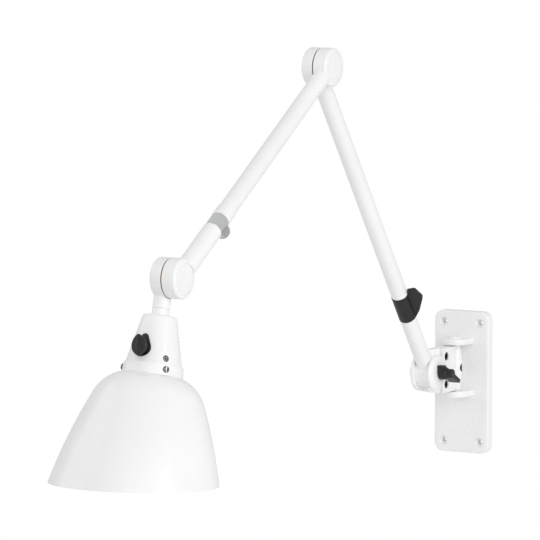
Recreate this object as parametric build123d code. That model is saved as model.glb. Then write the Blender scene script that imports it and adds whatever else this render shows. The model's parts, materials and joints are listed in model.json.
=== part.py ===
from build123d import *
import math
import os

# An articulating wall lamp: a wall plate, a swivel block, two arms that twist about their
# own length, an elbow, a head joint and an asymmetric bell shade with a rotary switch.
# Millimetres. +Z is up, the wall is the plane Y = 0 and the lamp reaches out along -Y.
# The origin is the centre of the wall plate's back face. All hinge drums turn about X.

# ---- wall plate and its two lugs
plate_width = 66.5
plate_height = 158.0
plate_thickness = 10.5
plate_corner = 10.0
plate_edge_round = 1.8
screw_spacing_x = 44.0
screw_spacing_z = 133.0
screw_hole_radius = 2.7
countersink_radius = 5.2
lug_half_width = 15.6
lug_thickness = 6.2
lug_gap = 51.9
lug_height = 18.0
pivot_reach = 15.2
pivot_pin_radius = 3.0
pivot_cap_radius = 7.2
pivot_cap_height = 2.2

# ---- swivel block
barrel_radius = 8.0
barrel_end_radius = 5.3
barrel_height = 49.3
bush_wall = 1.0
bush_length = 12.0
bush_flange_radius = 5.6
hinge_reach = 65.4
hinge_height = 19.8
cheek_radius = 20.5
cheek_inner = -8.0
cheek_thickness = 3.0
web_start = 3.0
web_length = 37.8
web_height = 46.8
web_face = 4.4
cover_thickness = 3.0
ramp_top = 0.0
ramp_length = 9.0
cover_screw_reach = 29.1
cover_screw_spread = 31.6
screw_head_radius = 5.0
cover_screw_shank_radius = 2.5
cover_screw_length = 9.0
set_screw_length = 4.4
hex_socket_radius = 2.9

# ---- wall hinge
hinge_drum_radius = 16.0
hinge_drum_right = 9.4
hinge_drum_gap = 0.15
hinge_bush_wall = 1.5
hinge_bolt_radius = 4.0
hinge_bolt_head_radius = 9.8
hinge_bolt_head_height = 4.6
hinge_washer_radius = 12.0
hinge_washer_thickness = 0.8
dome_radius = 19.7
dome_rim = 1.2
dome_height = 5.5
dome_top_radius = 9.0
knob_hub_radius = 7.6
knob_hub_length = 7.6
knob_cone_length = 2.2
knob_nose_radius = 4.9
knob_nose_length = 5.4
knob_wing_reach = 19.6
knob_wing_thickness = 4.2
knob_wing_start = 2.6
knob_wing_width = 12.4
knob_wing_angle = 30.0

# ---- lower arm
lower_lean = 36.4
lower_length = 430.0
tube_radius = 9.0
tube_wall = 1.5
clamp_start = 80.5
clamp_length = 32.8
clamp_radius = 9.5
neck_radius = 7.8
spindle_radius = 6.0
spindle_wall = 1.8
spindle_grip = 20.0
bearing_plug_length = 33.4
spindle_head_length = 5.0
clamp_wing_angle = 20.0
clamp_wing_thickness = 4.6
clamp_wing_reach = 24.0
clamp_wing_overhang = 6.0

# ---- elbow and head joints
drum_radius = 20.2
drum_round = 3.0
inner_half_thickness = 13.0
outer_half_thickness = 15.0
drum_gap = 1.4
arm_offset = 15.0
tube_inset = 6.1
joint_cap_radius = 15.8
joint_cap_thickness = 2.0
joint_cap_sink = 0.5
joint_cap_groove_radius = 13.2
pocket_radius = 9.5
joint_web_thickness = 4.6
joint_bolt_radius = 4.0
joint_bush_wall = 1.5
joint_bolt_head_radius = 7.0
joint_bolt_head_height = 5.0
joint_nut_radius = 7.0
joint_nut_height = 3.4
disc_spring_radius = 8.0
disc_spring_thickness = 0.7
disc_spring_count = 2
joint_washer_radius = 19.4
knuckle_stub = 24.0
knuckle_spigot = 20.0
cable_bore = 3.5

# ---- outer arm
outer_lean = 57.94
outer_length = 359.2
coupling_length = 14.1
head_tube_length = 53.6
ring_length = 17.6
ring_radius = 9.45
head_tube_radius = 9.9
lug_plate_radius = 9.6
lug_plate_reach = 15.8
lug_plate_thickness = 4.0
lug_plate_angle = 45.0
lug_screw_reach = 12.6
lug_screw_radius = 1.5
lug_screw_head_radius = 2.6
lug_screw_head_height = 1.3
screw_slot_width = 0.8
tube_slot_length = 7.5
tube_slot_width = 2.4

# ---- neck and lamp head
head_lean = 15.0
neck_stem_radius = 8.6
neck_split = 30.6
nipple_radius = 5.0
nipple_wall = 1.5
nipple_start = 18.0
nipple_end = 50.0
neck_nut_radius = 8.0
neck_nut_height = 5.0
neck_flange_radius = 9.5
neck_flange_thickness = 1.5
housing_top = 36.0
housing_top_radius = 17.5
housing_top_round = 3.6
housing_length = 50.0
housing_bottom_radius = 27.6
housing_wall = 2.5
collar_height = 11.5
collar_top_radius = 29.4
collar_end_radius = 30.1
collar_wall = 2.3
shade_screw_rise = 6.0
shade_screw_radius = 2.0
shade_screw_head_radius = 3.3
shade_screw_head_height = 2.4
shade_screw_angle = 55.5
holder_screw_rise = 5.1
holder_screw_radius = 2.4
holder_screw_recess_radius = 3.25

# ---- shade
shade_wall = 1.2
shade_lean = 1.9
shade_ledge = 2.4
shoulder_radius = 41.5
shoulder_centre_radius = 16.5
shoulder_angle = 23.2
flank_radius = 523.0
rim_depth = 107.5
rim_offset = 8.0
rim_angle = 13.3
shade_spigot_height = 8.6
shade_ring_wall = 3.0
shade_ring_height = 6.5

# ---- lampholder
holder_ring_inner = 19.8
holder_ring_outer = 23.3
holder_ring_height = 7.0
holder_seat = 4.2
holder_radius = 19.7
holder_wall = 2.0
holder_length = 50.0
socket_core_height = 14.0
socket_shell_radius = 14.2
socket_shell_wall = 0.7
socket_shell_length = 25.0
contact_radius = 3.5
contact_thickness = 1.5
contact_arch = 2.0

# ---- rotary switch
switch_rise = 12.9
switch_plate_thickness = 0.9
switch_plate_radius = 8.7
switch_pad_radius = 8.0
switch_pad_height = 1.0
switch_tab_radius = 3.9
switch_tab_reach = 10.8
switch_body_width = 12.0
switch_body_rise = 7.0
switch_body_drop = 3.8
switch_body_round = 1.0
switch_body_depth = 14.0
switch_body_sink = 0.4
switch_boss_radius = 7.6
switch_boss_height = 2.2
switch_shaft_radius = 3.0
knob_length = 23.4
knob_width = 15.5
knob_height = 6.6

# ---- clearances
seat_clearance = 0.05
running_clearance = 0.1
face_clearance = 0.1
part_clearance = 0.3

os.makedirs("parts", exist_ok=True)


def save(name, shape, frame=Location()):
    """Writes one sub-part, made in its own frame, at its place on the lamp."""
    solids = (frame * shape).solids()
    export_step(solids[0] if len(solids) == 1 else Compound(children=list(solids)), f"parts/{name}.step")


def rod(radius, start, end):
    """A round bar along Z."""
    return Pos(0, 0, (start + end) / 2) * Cylinder(radius, end - start)


def tube(outer, inner, start, end):
    """A round tube along Z."""
    return rod(outer, start, end) - rod(inner, start, end)


def cross_rod(radius, left, right):
    """A round bar along X."""
    return Pos((left + right) / 2, 0, 0) * Rot(0, 90, 0) * Cylinder(radius, right - left)


def cross_ring(outer, inner, left, right):
    """A flat ring about X."""
    return cross_rod(outer, left, right) - cross_rod(inner, left, right)


def out_rod(radius, start, end):
    """A round bar along Y."""
    return Pos(0, (start + end) / 2, 0) * Rot(90, 0, 0) * Cylinder(radius, end - start)


def hexagon_bar(radius, start, end):
    """A six-sided bar along Z, radius across its corners."""
    return Pos(0, 0, start) * extrude(RegularPolygon(radius, 6), end - start)


def block(low, high):
    """A box between two corners."""
    size = [b - a for a, b in zip(low, high)]
    centre = [(a + b) / 2 for a, b in zip(low, high)]
    return Pos(*centre) * Box(*size)


def turned(points):
    """A body of revolution about Z from an outline of (radius, height) points."""
    face = make_face(Polyline(*[(r, 0, z) for r, z in points], close=True))
    return revolve(face, Axis.Z)


# ---- where the joints lie
pivot_y = -(plate_thickness + pivot_reach)
hinge_y = pivot_y - hinge_reach
hinge = Location((0, hinge_y, hinge_height), (lower_lean, 0, 0))
elbow_y = hinge_y - lower_length * math.sin(math.radians(lower_lean))
elbow_z = hinge_height + lower_length * math.cos(math.radians(lower_lean))
outer = Location((arm_offset, elbow_y, elbow_z), (180 - outer_lean, 0, 0))
head_y = elbow_y - outer_length * math.sin(math.radians(outer_lean))
head_z = elbow_z - outer_length * math.cos(math.radians(outer_lean))
arm_end = Location((arm_offset, head_y, head_z), (-outer_lean, 0, 0))
head = Location((0, head_y, head_z), (180 - head_lean, 0, 0))
elbow = hinge * Location((0, 0, lower_length))
lower_end = elbow * Location((0, 0, 0), (180, 0, 0))
seam = tube_inset
outer_seam = seam + drum_gap
print("hinge", 0, hinge_y, hinge_height)
print("elbow", 0, elbow_y, elbow_z)
print("head", 0, head_y, head_z)

# ---- wall plate
plate = Pos(0, -plate_thickness / 2, 0) * Rot(90, 0, 0) * extrude(
    RectangleRounded(plate_width, plate_height, plate_corner), plate_thickness / 2, both=True
)
plate = fillet(plate.faces().sort_by(Axis.Y)[0].edges(), plate_edge_round)
for x in (-screw_spacing_x / 2, screw_spacing_x / 2):
    for z in (-screw_spacing_z / 2, screw_spacing_z / 2):
        plate -= Pos(x, 0, z) * out_rod(screw_hole_radius, -plate_thickness, 0)
        sink_depth = countersink_radius - screw_hole_radius
        sink = Cone(screw_hole_radius, countersink_radius, sink_depth)
        plate -= Pos(x, sink_depth / 2 - plate_thickness, z) * Rot(90, 0, 0) * sink
lug_inner_top = lug_height + lug_gap / 2
lug_inner_bottom = lug_height - lug_gap / 2
for low in (lug_inner_top, lug_inner_bottom - lug_thickness):
    lug = block(
        (-lug_half_width, pivot_y, low),
        (lug_half_width, -plate_thickness, low + lug_thickness),
    )
    lug += Pos(0, pivot_y, 0) * rod(lug_half_width, low, low + lug_thickness)
    plate += lug
lug_top = lug_inner_top + lug_thickness
lug_bottom = lug_inner_bottom - lug_thickness
plate -= Pos(0, pivot_y, 0) * rod(pivot_pin_radius + seat_clearance, lug_bottom, lug_top)
save("wall_plate", plate)

pivot = Location((0, pivot_y, 0))
save("pivot_pin", rod(pivot_pin_radius, lug_bottom, lug_top), pivot)
cap_round = pivot_cap_height * 0.45
cap = rod(pivot_cap_radius, 0, pivot_cap_height)
cap = fillet(cap.edges().sort_by(Axis.Z)[-1], cap_round)
caps = Pos(0, 0, lug_top) * cap + Pos(0, 0, lug_bottom) * Rot(180, 0, 0) * cap
save("pivot_caps", caps, pivot)

# ---- swivel block: barrel, web and the cheek beside the arm's drum
barrel_top = lug_height + barrel_height / 2
barrel_bottom = lug_height - barrel_height / 2
web_top = lug_height + web_height / 2
web_bottom = lug_height - web_height / 2


def barrel(grow):
    """The crowned barrel, thickest at mid height, grown by a margin."""
    outline = ThreePointArc(
        (barrel_end_radius + grow, 0, barrel_bottom),
        (barrel_radius + grow, 0, lug_height),
        (barrel_end_radius + grow, 0, barrel_top),
    )
    outline += Polyline(
        (barrel_end_radius + grow, 0, barrel_top),
        (0, 0, barrel_top),
        (0, 0, barrel_bottom),
        (barrel_end_radius + grow, 0, barrel_bottom),
    )
    return Pos(0, pivot_y, 0) * revolve(make_face(outline), Axis.Z)


bush_radius = pivot_pin_radius + running_clearance + bush_wall
cheek_outer = cheek_inner - cheek_thickness
web_inner_face = web_face - cover_thickness
web_end = pivot_y - web_length
disc = [
    (
        hinge_y - cheek_radius * math.cos(math.radians(a)),
        hinge_height + cheek_radius * math.sin(math.radians(a)),
    )
    for a in (80, 0, -80)
]
outline = (
    Line((cheek_outer, web_end, web_top), (cheek_outer, *disc[0]))
    + ThreePointArc(*[(cheek_outer, *p) for p in disc])
    + Polyline(
        (cheek_outer, *disc[2]),
        (cheek_outer, web_end, web_bottom),
        (cheek_outer, pivot_y - web_start, web_bottom),
        (cheek_outer, pivot_y - web_start, web_top),
        (cheek_outer, web_end, web_top),
    )
)
swivel = extrude(make_face(outline), web_inner_face - cheek_outer, dir=(1, 0, 0))
ramp_end = web_end - ramp_length
far_side = hinge_y - 2 * cheek_radius
relief = make_face(
    Polyline(
        (web_inner_face, web_end, web_bottom),
        (ramp_top, web_end, web_bottom),
        (cheek_inner, ramp_end, web_bottom),
        (cheek_inner, far_side, web_bottom),
        (web_inner_face, far_side, web_bottom),
        close=True,
    )
)
swivel -= extrude(relief, web_height, dir=(0, 0, 1))
swivel += barrel(0)
swivel -= Pos(0, pivot_y, 0) * rod(bush_radius + seat_clearance, barrel_bottom, barrel_top)
set_screw_tip = pivot_pin_radius + running_clearance + seat_clearance
middle = Location((0, pivot_y, lug_height))
swivel -= middle * cross_rod(screw_head_radius + seat_clearance, 0, barrel_radius)
swivel -= Pos(0, hinge_y, hinge_height) * cross_rod(
    hinge_bolt_radius + seat_clearance, cheek_outer, cheek_inner
)
cover_screw_y = pivot_y - cover_screw_reach
screw_places = [
    (cover_screw_y, lug_height - cover_screw_spread / 2),
    (cover_screw_y, lug_height + cover_screw_spread / 2),
]
cover = block(
    (web_inner_face, web_end, web_bottom),
    (web_face, pivot_y - web_start, web_top),
)
cover -= barrel(seat_clearance)
cover_screws = []
screw_tip = web_face - cover_screw_length
for y, z in screw_places:
    place = Location((0, y, z))
    swivel -= place * cross_rod(
        cover_screw_shank_radius + seat_clearance, screw_tip, web_inner_face
    )
    cover -= place * cross_rod(
        cover_screw_shank_radius + seat_clearance, web_inner_face, web_face
    )
    head_seat = web_face - cover_thickness / 2
    cover -= place * cross_rod(screw_head_radius + seat_clearance, head_seat, web_face)
    screw = cross_rod(cover_screw_shank_radius, screw_tip, head_seat)
    screw += cross_rod(screw_head_radius, head_seat, web_face + part_clearance)
    socket = hexagon_bar(hex_socket_radius, head_seat + seat_clearance, web_face + 1)
    screw -= Rot(0, 90, 0) * socket
    cover_screws.append(place * screw)
save("swivel_block", swivel)
save("swivel_cover", cover)
save("cover_screws", Compound(children=cover_screws))
set_screw = cross_rod(screw_head_radius, set_screw_tip, set_screw_tip + set_screw_length)
set_screw -= Rot(0, 90, 0) * hexagon_bar(
    hex_socket_radius, set_screw_tip + set_screw_length / 2, set_screw_tip + set_screw_length
)
save("swivel_set_screw", set_screw, middle)

flange = (lug_gap - barrel_height) / 2 - 2 * face_clearance
bush = tube(bush_radius, pivot_pin_radius + running_clearance, -bush_length, 0)
bush += tube(
    bush_flange_radius, pivot_pin_radius + running_clearance, face_clearance, face_clearance + flange
)
bush += tube(bush_radius, pivot_pin_radius + running_clearance, 0, face_clearance)
bushes = Pos(0, 0, barrel_top) * bush + Pos(0, 0, barrel_bottom) * Rot(180, 0, 0) * bush
save("pivot_bushes", bushes, pivot)

# ---- wall hinge: bolt, friction washer, dome and winged clamp knob
hinge_axis = Location((0, hinge_y, hinge_height))
drum_left = cheek_inner + hinge_drum_gap
recess_floor = cheek_inner + hinge_washer_thickness + face_clearance
dome_left = hinge_drum_right + face_clearance
dome_right = dome_left + dome_height
knob_left = dome_right + face_clearance
hub_right = knob_left + knob_hub_length
cone_right = hub_right + knob_cone_length
nose_right = cone_right + knob_nose_length
bolt = cross_rod(hinge_bolt_head_radius, cheek_outer - hinge_bolt_head_height, cheek_outer)
bolt = fillet(bolt.edges().sort_by(Axis.X)[0], hinge_bolt_head_height / 3)
bolt += cross_rod(hinge_bolt_radius, cheek_outer, hub_right)
save("hinge_bolt", bolt, hinge_axis)
save(
    "hinge_friction_washer",
    cross_ring(
        hinge_washer_radius,
        hinge_bolt_radius + running_clearance,
        cheek_inner + face_clearance / 2,
        recess_floor - face_clearance / 2,
    ),
    hinge_axis,
)
hinge_bush_radius = hinge_bolt_radius + running_clearance + hinge_bush_wall
save(
    "hinge_bush",
    cross_ring(hinge_bush_radius, hinge_bolt_radius + running_clearance, recess_floor, hinge_drum_right),
    hinge_axis,
)
dome_bore = hinge_bolt_radius + running_clearance
dome_bulge = dome_height * 0.1
dome_profile = Polyline(
    (dome_top_radius, 0, dome_right),
    (dome_bore, 0, dome_right),
    (dome_bore, 0, dome_left),
    (dome_radius, 0, dome_left),
    (dome_radius, 0, dome_left + dome_rim),
)
dome_profile += ThreePointArc(
    (dome_radius, 0, dome_left + dome_rim),
    (
        (dome_radius + dome_top_radius) / 2 + dome_bulge,
        0,
        (dome_left + dome_rim + dome_right) / 2 + dome_bulge,
    ),
    (dome_top_radius, 0, dome_right),
)
dome_shape = revolve(make_face(dome_profile), Axis.Z)
save("hinge_dome", Rot(0, 90, 0) * dome_shape, hinge_axis)
knob = cross_rod(knob_hub_radius, knob_left, hub_right)
knob += Pos((hub_right + cone_right) / 2, 0, 0) * Rot(0, 90, 0) * Cone(
    knob_hub_radius, knob_nose_radius, knob_cone_length
)
knob += cross_rod(knob_nose_radius, cone_right, nose_right)
wing = make_face(
    Polyline(
        (knob_left + knob_wing_start, 0),
        (knob_left + knob_wing_start, knob_wing_reach),
        (knob_left + knob_wing_start + knob_wing_width, knob_wing_reach),
        (nose_right, knob_nose_radius),
        (nose_right, 0),
        close=True,
    )
)
wing = extrude(wing, knob_wing_thickness / 2, both=True)
wing = fillet(wing.edges().filter_by(Axis.Z).sort_by(Axis.Y)[-2:], 1.6)
knob += Rot(-knob_wing_angle, 0, 0) * wing
knob -= cross_rod(hinge_bolt_radius + running_clearance, knob_left, hub_right + face_clearance)
save("hinge_wing_knob", knob, hinge_axis)

# ---- lower arm: knuckle, twist spindle, clamp sleeve, bearing plug and tube
clamp_end = clamp_start + clamp_length
clamp_middle = clamp_start + clamp_length / 2
spindle_start = clamp_start - spindle_grip
plug_end = clamp_end + bearing_plug_length - clamp_length / 2
collar_start = plug_end + face_clearance
spindle_end = collar_start + spindle_head_length
spindle_head_radius = tube_radius - tube_wall - part_clearance
knuckle = cross_rod(hinge_drum_radius, drum_left, hinge_drum_right)
stub = rod(tube_radius, 0, clamp_start) + rod(neck_radius, clamp_start, clamp_middle - face_clearance)
stub -= cross_rod(cheek_radius + 2 * part_clearance, -2 * tube_radius, drum_left)
knuckle += stub
knuckle -= cross_rod(hinge_washer_radius + running_clearance, drum_left, recess_floor)
knuckle -= cross_rod(hinge_bush_radius + seat_clearance, drum_left, hinge_drum_right)
knuckle -= rod(spindle_radius + seat_clearance, hinge_bush_radius + tube_wall, clamp_middle)
save("lower_knuckle", knuckle, hinge)
spindle_bore = spindle_radius - spindle_wall
spindle = rod(spindle_radius, spindle_start, spindle_end) + rod(spindle_head_radius, collar_start, spindle_end)
save("lower_spindle", spindle - rod(spindle_bore, spindle_start, spindle_end), hinge)
plug = rod(neck_radius, clamp_middle + face_clearance, clamp_end)
plug += rod(tube_radius - tube_wall - seat_clearance, clamp_end, plug_end)
plug -= rod(spindle_radius + running_clearance, clamp_middle, plug_end)
save("lower_bearing_plug", plug, hinge)
sleeve = rod(clamp_radius, clamp_start + face_clearance, clamp_end - face_clearance)
wing_top = clamp_end + clamp_wing_overhang
clamp_wing = make_face(
    Polyline(
        (0, 0, clamp_start + face_clearance),
        (clamp_radius, 0, clamp_start + face_clearance),
        (clamp_wing_reach * 0.67, 0, clamp_start + clamp_length * 0.28),
        (clamp_wing_reach, 0, clamp_start + clamp_length * 0.77),
        (clamp_wing_reach * 0.76, 0, wing_top),
        (clamp_radius, 0, wing_top),
        (clamp_radius, 0, clamp_end - face_clearance),
        (0, 0, clamp_end - face_clearance),
        close=True,
    )
)
clamp_wing = extrude(clamp_wing, clamp_wing_thickness / 2, both=True)
sleeve += Rot(0, 0, clamp_wing_angle) * clamp_wing
sleeve -= rod(neck_radius + running_clearance, clamp_start, clamp_end)
sleeve -= rod(tube_radius + part_clearance, clamp_end, wing_top + 1)
save("clamp_sleeve", sleeve, hinge)
tube_end = lower_length - knuckle_stub
save("lower_tube", tube(tube_radius, tube_radius - tube_wall, clamp_end, tube_end), hinge)


# ---- one half of an elbow or head joint. Its flat seam lies at x = 0 and its outer face at
# x = thickness, and its stub leaves along +Z.
def drum_half(thickness, axis_x, stub_radius, stub_length, spigot_radius, bolt_hole):
    body = cross_rod(drum_radius, 0, thickness)
    body = fillet(body.edges().sort_by(Axis.X)[-1], drum_round)
    arm = Pos(axis_x, 0, 0) * rod(stub_radius, 0, stub_length)
    arm -= cross_rod(drum_radius + 2 * part_clearance, -2 * stub_radius, 0)
    body += arm
    if spigot_radius:
        body += Pos(axis_x, 0, 0) * rod(spigot_radius, stub_length, stub_length + knuckle_spigot)
    cap_seat = thickness - joint_cap_sink - joint_cap_thickness
    body -= cross_rod(joint_cap_radius + seat_clearance, cap_seat, thickness + stub_radius)
    body -= cross_rod(pocket_radius, joint_web_thickness, cap_seat)
    body -= cross_rod(bolt_hole, 0, joint_web_thickness)
    return body


def joint_cap(thickness):
    """A plain inset cap with one turned groove."""
    right = thickness - joint_cap_sink
    disc = cross_rod(joint_cap_radius, right - joint_cap_thickness, right)
    groove = cross_ring(joint_cap_groove_radius, joint_cap_groove_radius - 0.6, right - 0.4, right)
    return disc - groove


half_turn = Location((0, 0, 0), (0, 0, 180))
bolt_bush_radius = joint_bolt_radius + running_clearance + joint_bush_wall
inner_place = Location((seam, 0, 0)) * half_turn
outer_place = Location((outer_seam - arm_offset, 0, 0))
spigot = tube_radius - tube_wall - seat_clearance


def cable_way(axis_x, end):
    """The wire's way from a stub into the joint's pocket."""
    return Pos(axis_x, 0, 0) * rod(cable_bore, pocket_radius - 1, end)


inner_half = drum_half(
    inner_half_thickness, tube_inset, tube_radius, knuckle_stub, spigot, bolt_bush_radius + seat_clearance
)
inner_half -= cable_way(tube_inset, knuckle_stub + knuckle_spigot)
save("elbow_inner_half", inner_place * inner_half, lower_end)
save("elbow_inner_cap", inner_place * joint_cap(inner_half_thickness), lower_end)
outer_axis = arm_offset - outer_seam
outer_half = drum_half(
    outer_half_thickness, outer_axis, tube_radius, knuckle_stub, spigot, joint_bolt_radius + seat_clearance
)
outer_half -= cable_way(outer_axis, knuckle_stub + knuckle_spigot)
save("elbow_outer_half", outer_place * outer_half, outer)
save("elbow_outer_cap", outer_place * joint_cap(outer_half_thickness), outer)


# ---- the pieces on each joint's bolt, in a frame whose x = 0 is the inner tube's axis
def joint_hardware(name, frame):
    bush_left = seam - joint_web_thickness
    bush = cross_ring(bolt_bush_radius, joint_bolt_radius + running_clearance, bush_left, seam)
    save(f"{name}_bush", bush, frame)
    washer = cross_ring(
        joint_washer_radius,
        joint_bolt_radius + running_clearance,
        seam + face_clearance / 2,
        outer_seam - face_clearance / 2,
    )
    save(f"{name}_friction_washer", washer, frame)
    stack = disc_spring_count * disc_spring_thickness
    springs = []
    for i in range(disc_spring_count):
        right = bush_left - face_clearance / 2 - i * disc_spring_thickness
        springs.append(
            cross_ring(
                disc_spring_radius,
                joint_bolt_radius + running_clearance,
                right - disc_spring_thickness + face_clearance / 2,
                right,
            )
        )
    save(f"{name}_disc_springs", Compound(children=springs), frame)
    nut_right = bush_left - stack - face_clearance / 2
    nut = Rot(0, 90, 0) * hexagon_bar(joint_nut_radius, nut_right - joint_nut_height, nut_right)
    nut -= cross_rod(joint_bolt_radius + seat_clearance, nut_right - joint_nut_height, nut_right)
    save(f"{name}_nut", nut, frame)
    head_left = outer_seam + joint_web_thickness
    bolt = cross_rod(joint_bolt_radius, nut_right - joint_nut_height, head_left)
    bolt += cross_rod(joint_bolt_head_radius, head_left, head_left + joint_bolt_head_height)
    socket = hexagon_bar(
        hex_socket_radius, head_left + joint_bolt_head_height / 2, head_left + joint_bolt_head_height
    )
    save(f"{name}_bolt", bolt - Rot(0, 90, 0) * socket, frame)


joint_hardware("elbow", elbow)

# ---- outer arm: tube, coupling sleeve, chromed twist ring, head tube
head_tube_end = outer_length - knuckle_stub
ring_end = head_tube_end - head_tube_length
ring_start = ring_end - ring_length
coupling_start = ring_start - coupling_length
outer_bore = tube_radius - tube_wall
save("outer_tube", tube(tube_radius, outer_bore, knuckle_stub, ring_start - face_clearance), outer)
save(
    "coupling_sleeve",
    tube(head_tube_radius, tube_radius + seat_clearance, coupling_start, ring_start - face_clearance),
    outer,
)
twist_start = ring_start - spindle_grip
twist_stop = ring_end + spindle_grip
save(
    "twist_bush",
    tube(outer_bore - seat_clearance, spindle_radius + running_clearance, twist_start, ring_start - face_clearance),
    outer,
)
twist_head_start = twist_start - spindle_head_length - face_clearance
twist_spindle = rod(spindle_radius, twist_head_start, twist_stop)
twist_spindle += rod(spindle_head_radius, twist_head_start, twist_start - face_clearance)
save("twist_spindle", twist_spindle - rod(spindle_bore, twist_head_start, twist_stop), outer)
ring = rod(ring_radius, ring_start, ring_end)
ring -= rod(spindle_radius + seat_clearance, ring_start, ring_end)
save("twist_ring", ring, outer)
lug_turn = Location((0, 0, 0), (0, 0, -lug_plate_angle))
lug_middle = ring_start + part_clearance + lug_plate_radius
lug_place = Location((lug_plate_reach - lug_plate_radius, 0, lug_middle))
lug_plate = lug_place * out_rod(lug_plate_radius, -lug_plate_thickness / 2, lug_plate_thickness / 2)
lug_plate -= rod(ring_radius + seat_clearance, ring_start, ring_end + seat_clearance)
lug_plate -= rod(head_tube_radius + seat_clearance, ring_end, lug_middle + 2 * lug_plate_radius)
lug_plate -= block(
    (-2 * lug_plate_radius, -lug_plate_thickness, ring_start),
    (ring_radius / 2, lug_plate_thickness, lug_middle + 2 * lug_plate_radius),
)
lug_screw_place = Location((lug_screw_reach, 0, lug_middle))
lug_front = lug_plate_thickness / 2
lug_plate -= lug_screw_place * out_rod(lug_screw_radius + seat_clearance, -lug_front, lug_front)
save("twist_lug", lug_turn * lug_plate, outer)
lug_screw = out_rod(lug_screw_radius, -lug_front, lug_front)
lug_screw += out_rod(lug_screw_head_radius, -lug_front - lug_screw_head_height, -lug_front)
slot_depth = lug_screw_head_height / 2
lug_screw -= Pos(0, -lug_front - lug_screw_head_height, 0) * Box(
    2 * lug_screw_head_radius, 2 * slot_depth, screw_slot_width
)
save("lug_screw", lug_turn * lug_screw_place * lug_screw, outer)
head_bore = head_tube_radius - tube_wall
head_tube = tube(head_tube_radius, head_bore, ring_end + face_clearance, head_tube_end)
slot = block(
    (ring_radius / 2, -tube_slot_width / 2, ring_end),
    (head_tube_radius + lug_front, tube_slot_width / 2, ring_end + tube_slot_length),
)
head_tube -= lug_turn * slot
save("head_tube", head_tube, outer)
plug = tube(
    head_bore - seat_clearance, spindle_radius + seat_clearance, ring_end + face_clearance, twist_stop
)
save("head_tube_plug", plug, outer)

# ---- head joint
head_spigot = head_bore - seat_clearance
arm_half = drum_half(
    outer_half_thickness,
    outer_axis,
    head_tube_radius,
    knuckle_stub,
    head_spigot,
    joint_bolt_radius + seat_clearance,
)
arm_half -= cable_way(outer_axis, knuckle_stub + knuckle_spigot)
save("head_outer_half", outer_place * arm_half, arm_end)
save("head_outer_cap", outer_place * joint_cap(outer_half_thickness), arm_end)
neck_half = drum_half(
    inner_half_thickness, tube_inset, neck_stem_radius, neck_split, 0, bolt_bush_radius + seat_clearance
)
neck_half -= cable_way(tube_inset, neck_split)
neck_half -= Pos(tube_inset, 0, 0) * rod(nipple_radius + seat_clearance, nipple_start, neck_split)
save("head_inner_half", inner_place * neck_half, head)
save("head_inner_cap", inner_place * joint_cap(inner_half_thickness), head)
joint_hardware("head", head)

# ---- neck swivel
housing_bottom = housing_top + housing_length
collar_end = housing_bottom + collar_height
switch_height = housing_bottom - switch_rise
shade_screw_height = collar_end - shade_screw_rise
holder_screw_height = housing_bottom - holder_screw_rise
housing_neck = neck_split + face_clearance
housing_roof = housing_top + housing_wall * 2
flange_top = housing_roof + face_clearance
nut_top = flange_top + neck_flange_thickness
save("neck_nipple", tube(nipple_radius, nipple_radius - nipple_wall, nipple_start, nipple_end), head)
nut = rod(neck_flange_radius, flange_top, nut_top)
nut += hexagon_bar(neck_nut_radius, nut_top, nut_top + neck_nut_height)
nut -= rod(nipple_radius + seat_clearance, flange_top, nut_top + neck_nut_height)
save("neck_nut", nut, head)

# ---- lamp housing: a tapered casting with a collar for the shade
slope = (housing_bottom_radius - housing_top_radius) / (housing_bottom - housing_top)
inner_top = housing_top_radius + slope * (housing_roof - housing_top) - housing_wall
inner_bottom = housing_bottom_radius - housing_wall
collar_inner = collar_end_radius - collar_wall
bore = nipple_radius + running_clearance
housing = turned(
    [
        (bore, housing_neck),
        (neck_stem_radius, housing_neck),
        (neck_stem_radius, housing_top),
        (housing_top_radius, housing_top),
        (housing_bottom_radius, housing_bottom),
        (collar_top_radius, housing_bottom),
        (collar_end_radius, collar_end),
        (collar_inner, collar_end),
        (collar_inner, housing_bottom + collar_wall),
        (inner_bottom, housing_bottom),
        (inner_top, housing_roof),
        (bore, housing_roof),
    ]
)
top_edge = housing.edges().filter_by(GeomType.CIRCLE).filter_by(
    lambda e: abs(e.radius - housing_top_radius) < 0.01 and abs(e.center().Z - housing_top) < 0.01
)
housing = fillet(top_edge, housing_top_round)
cone_angle = math.degrees(math.atan(slope))
switch_radius = housing_top_radius + slope * (switch_height - housing_top)
switch = head * Location((0, switch_radius, switch_height), (-cone_angle, 0, 0))
switch_in_head = Location((0, switch_radius, switch_height), (-cone_angle, 0, 0))


def cone_skin(grow):
    """The housing's tapered outside, grown by a margin."""
    return turned(
        [
            (0, housing_top),
            (housing_top_radius + grow, housing_top),
            (housing_bottom_radius + grow, housing_bottom),
            (0, housing_bottom),
        ]
    )


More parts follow.
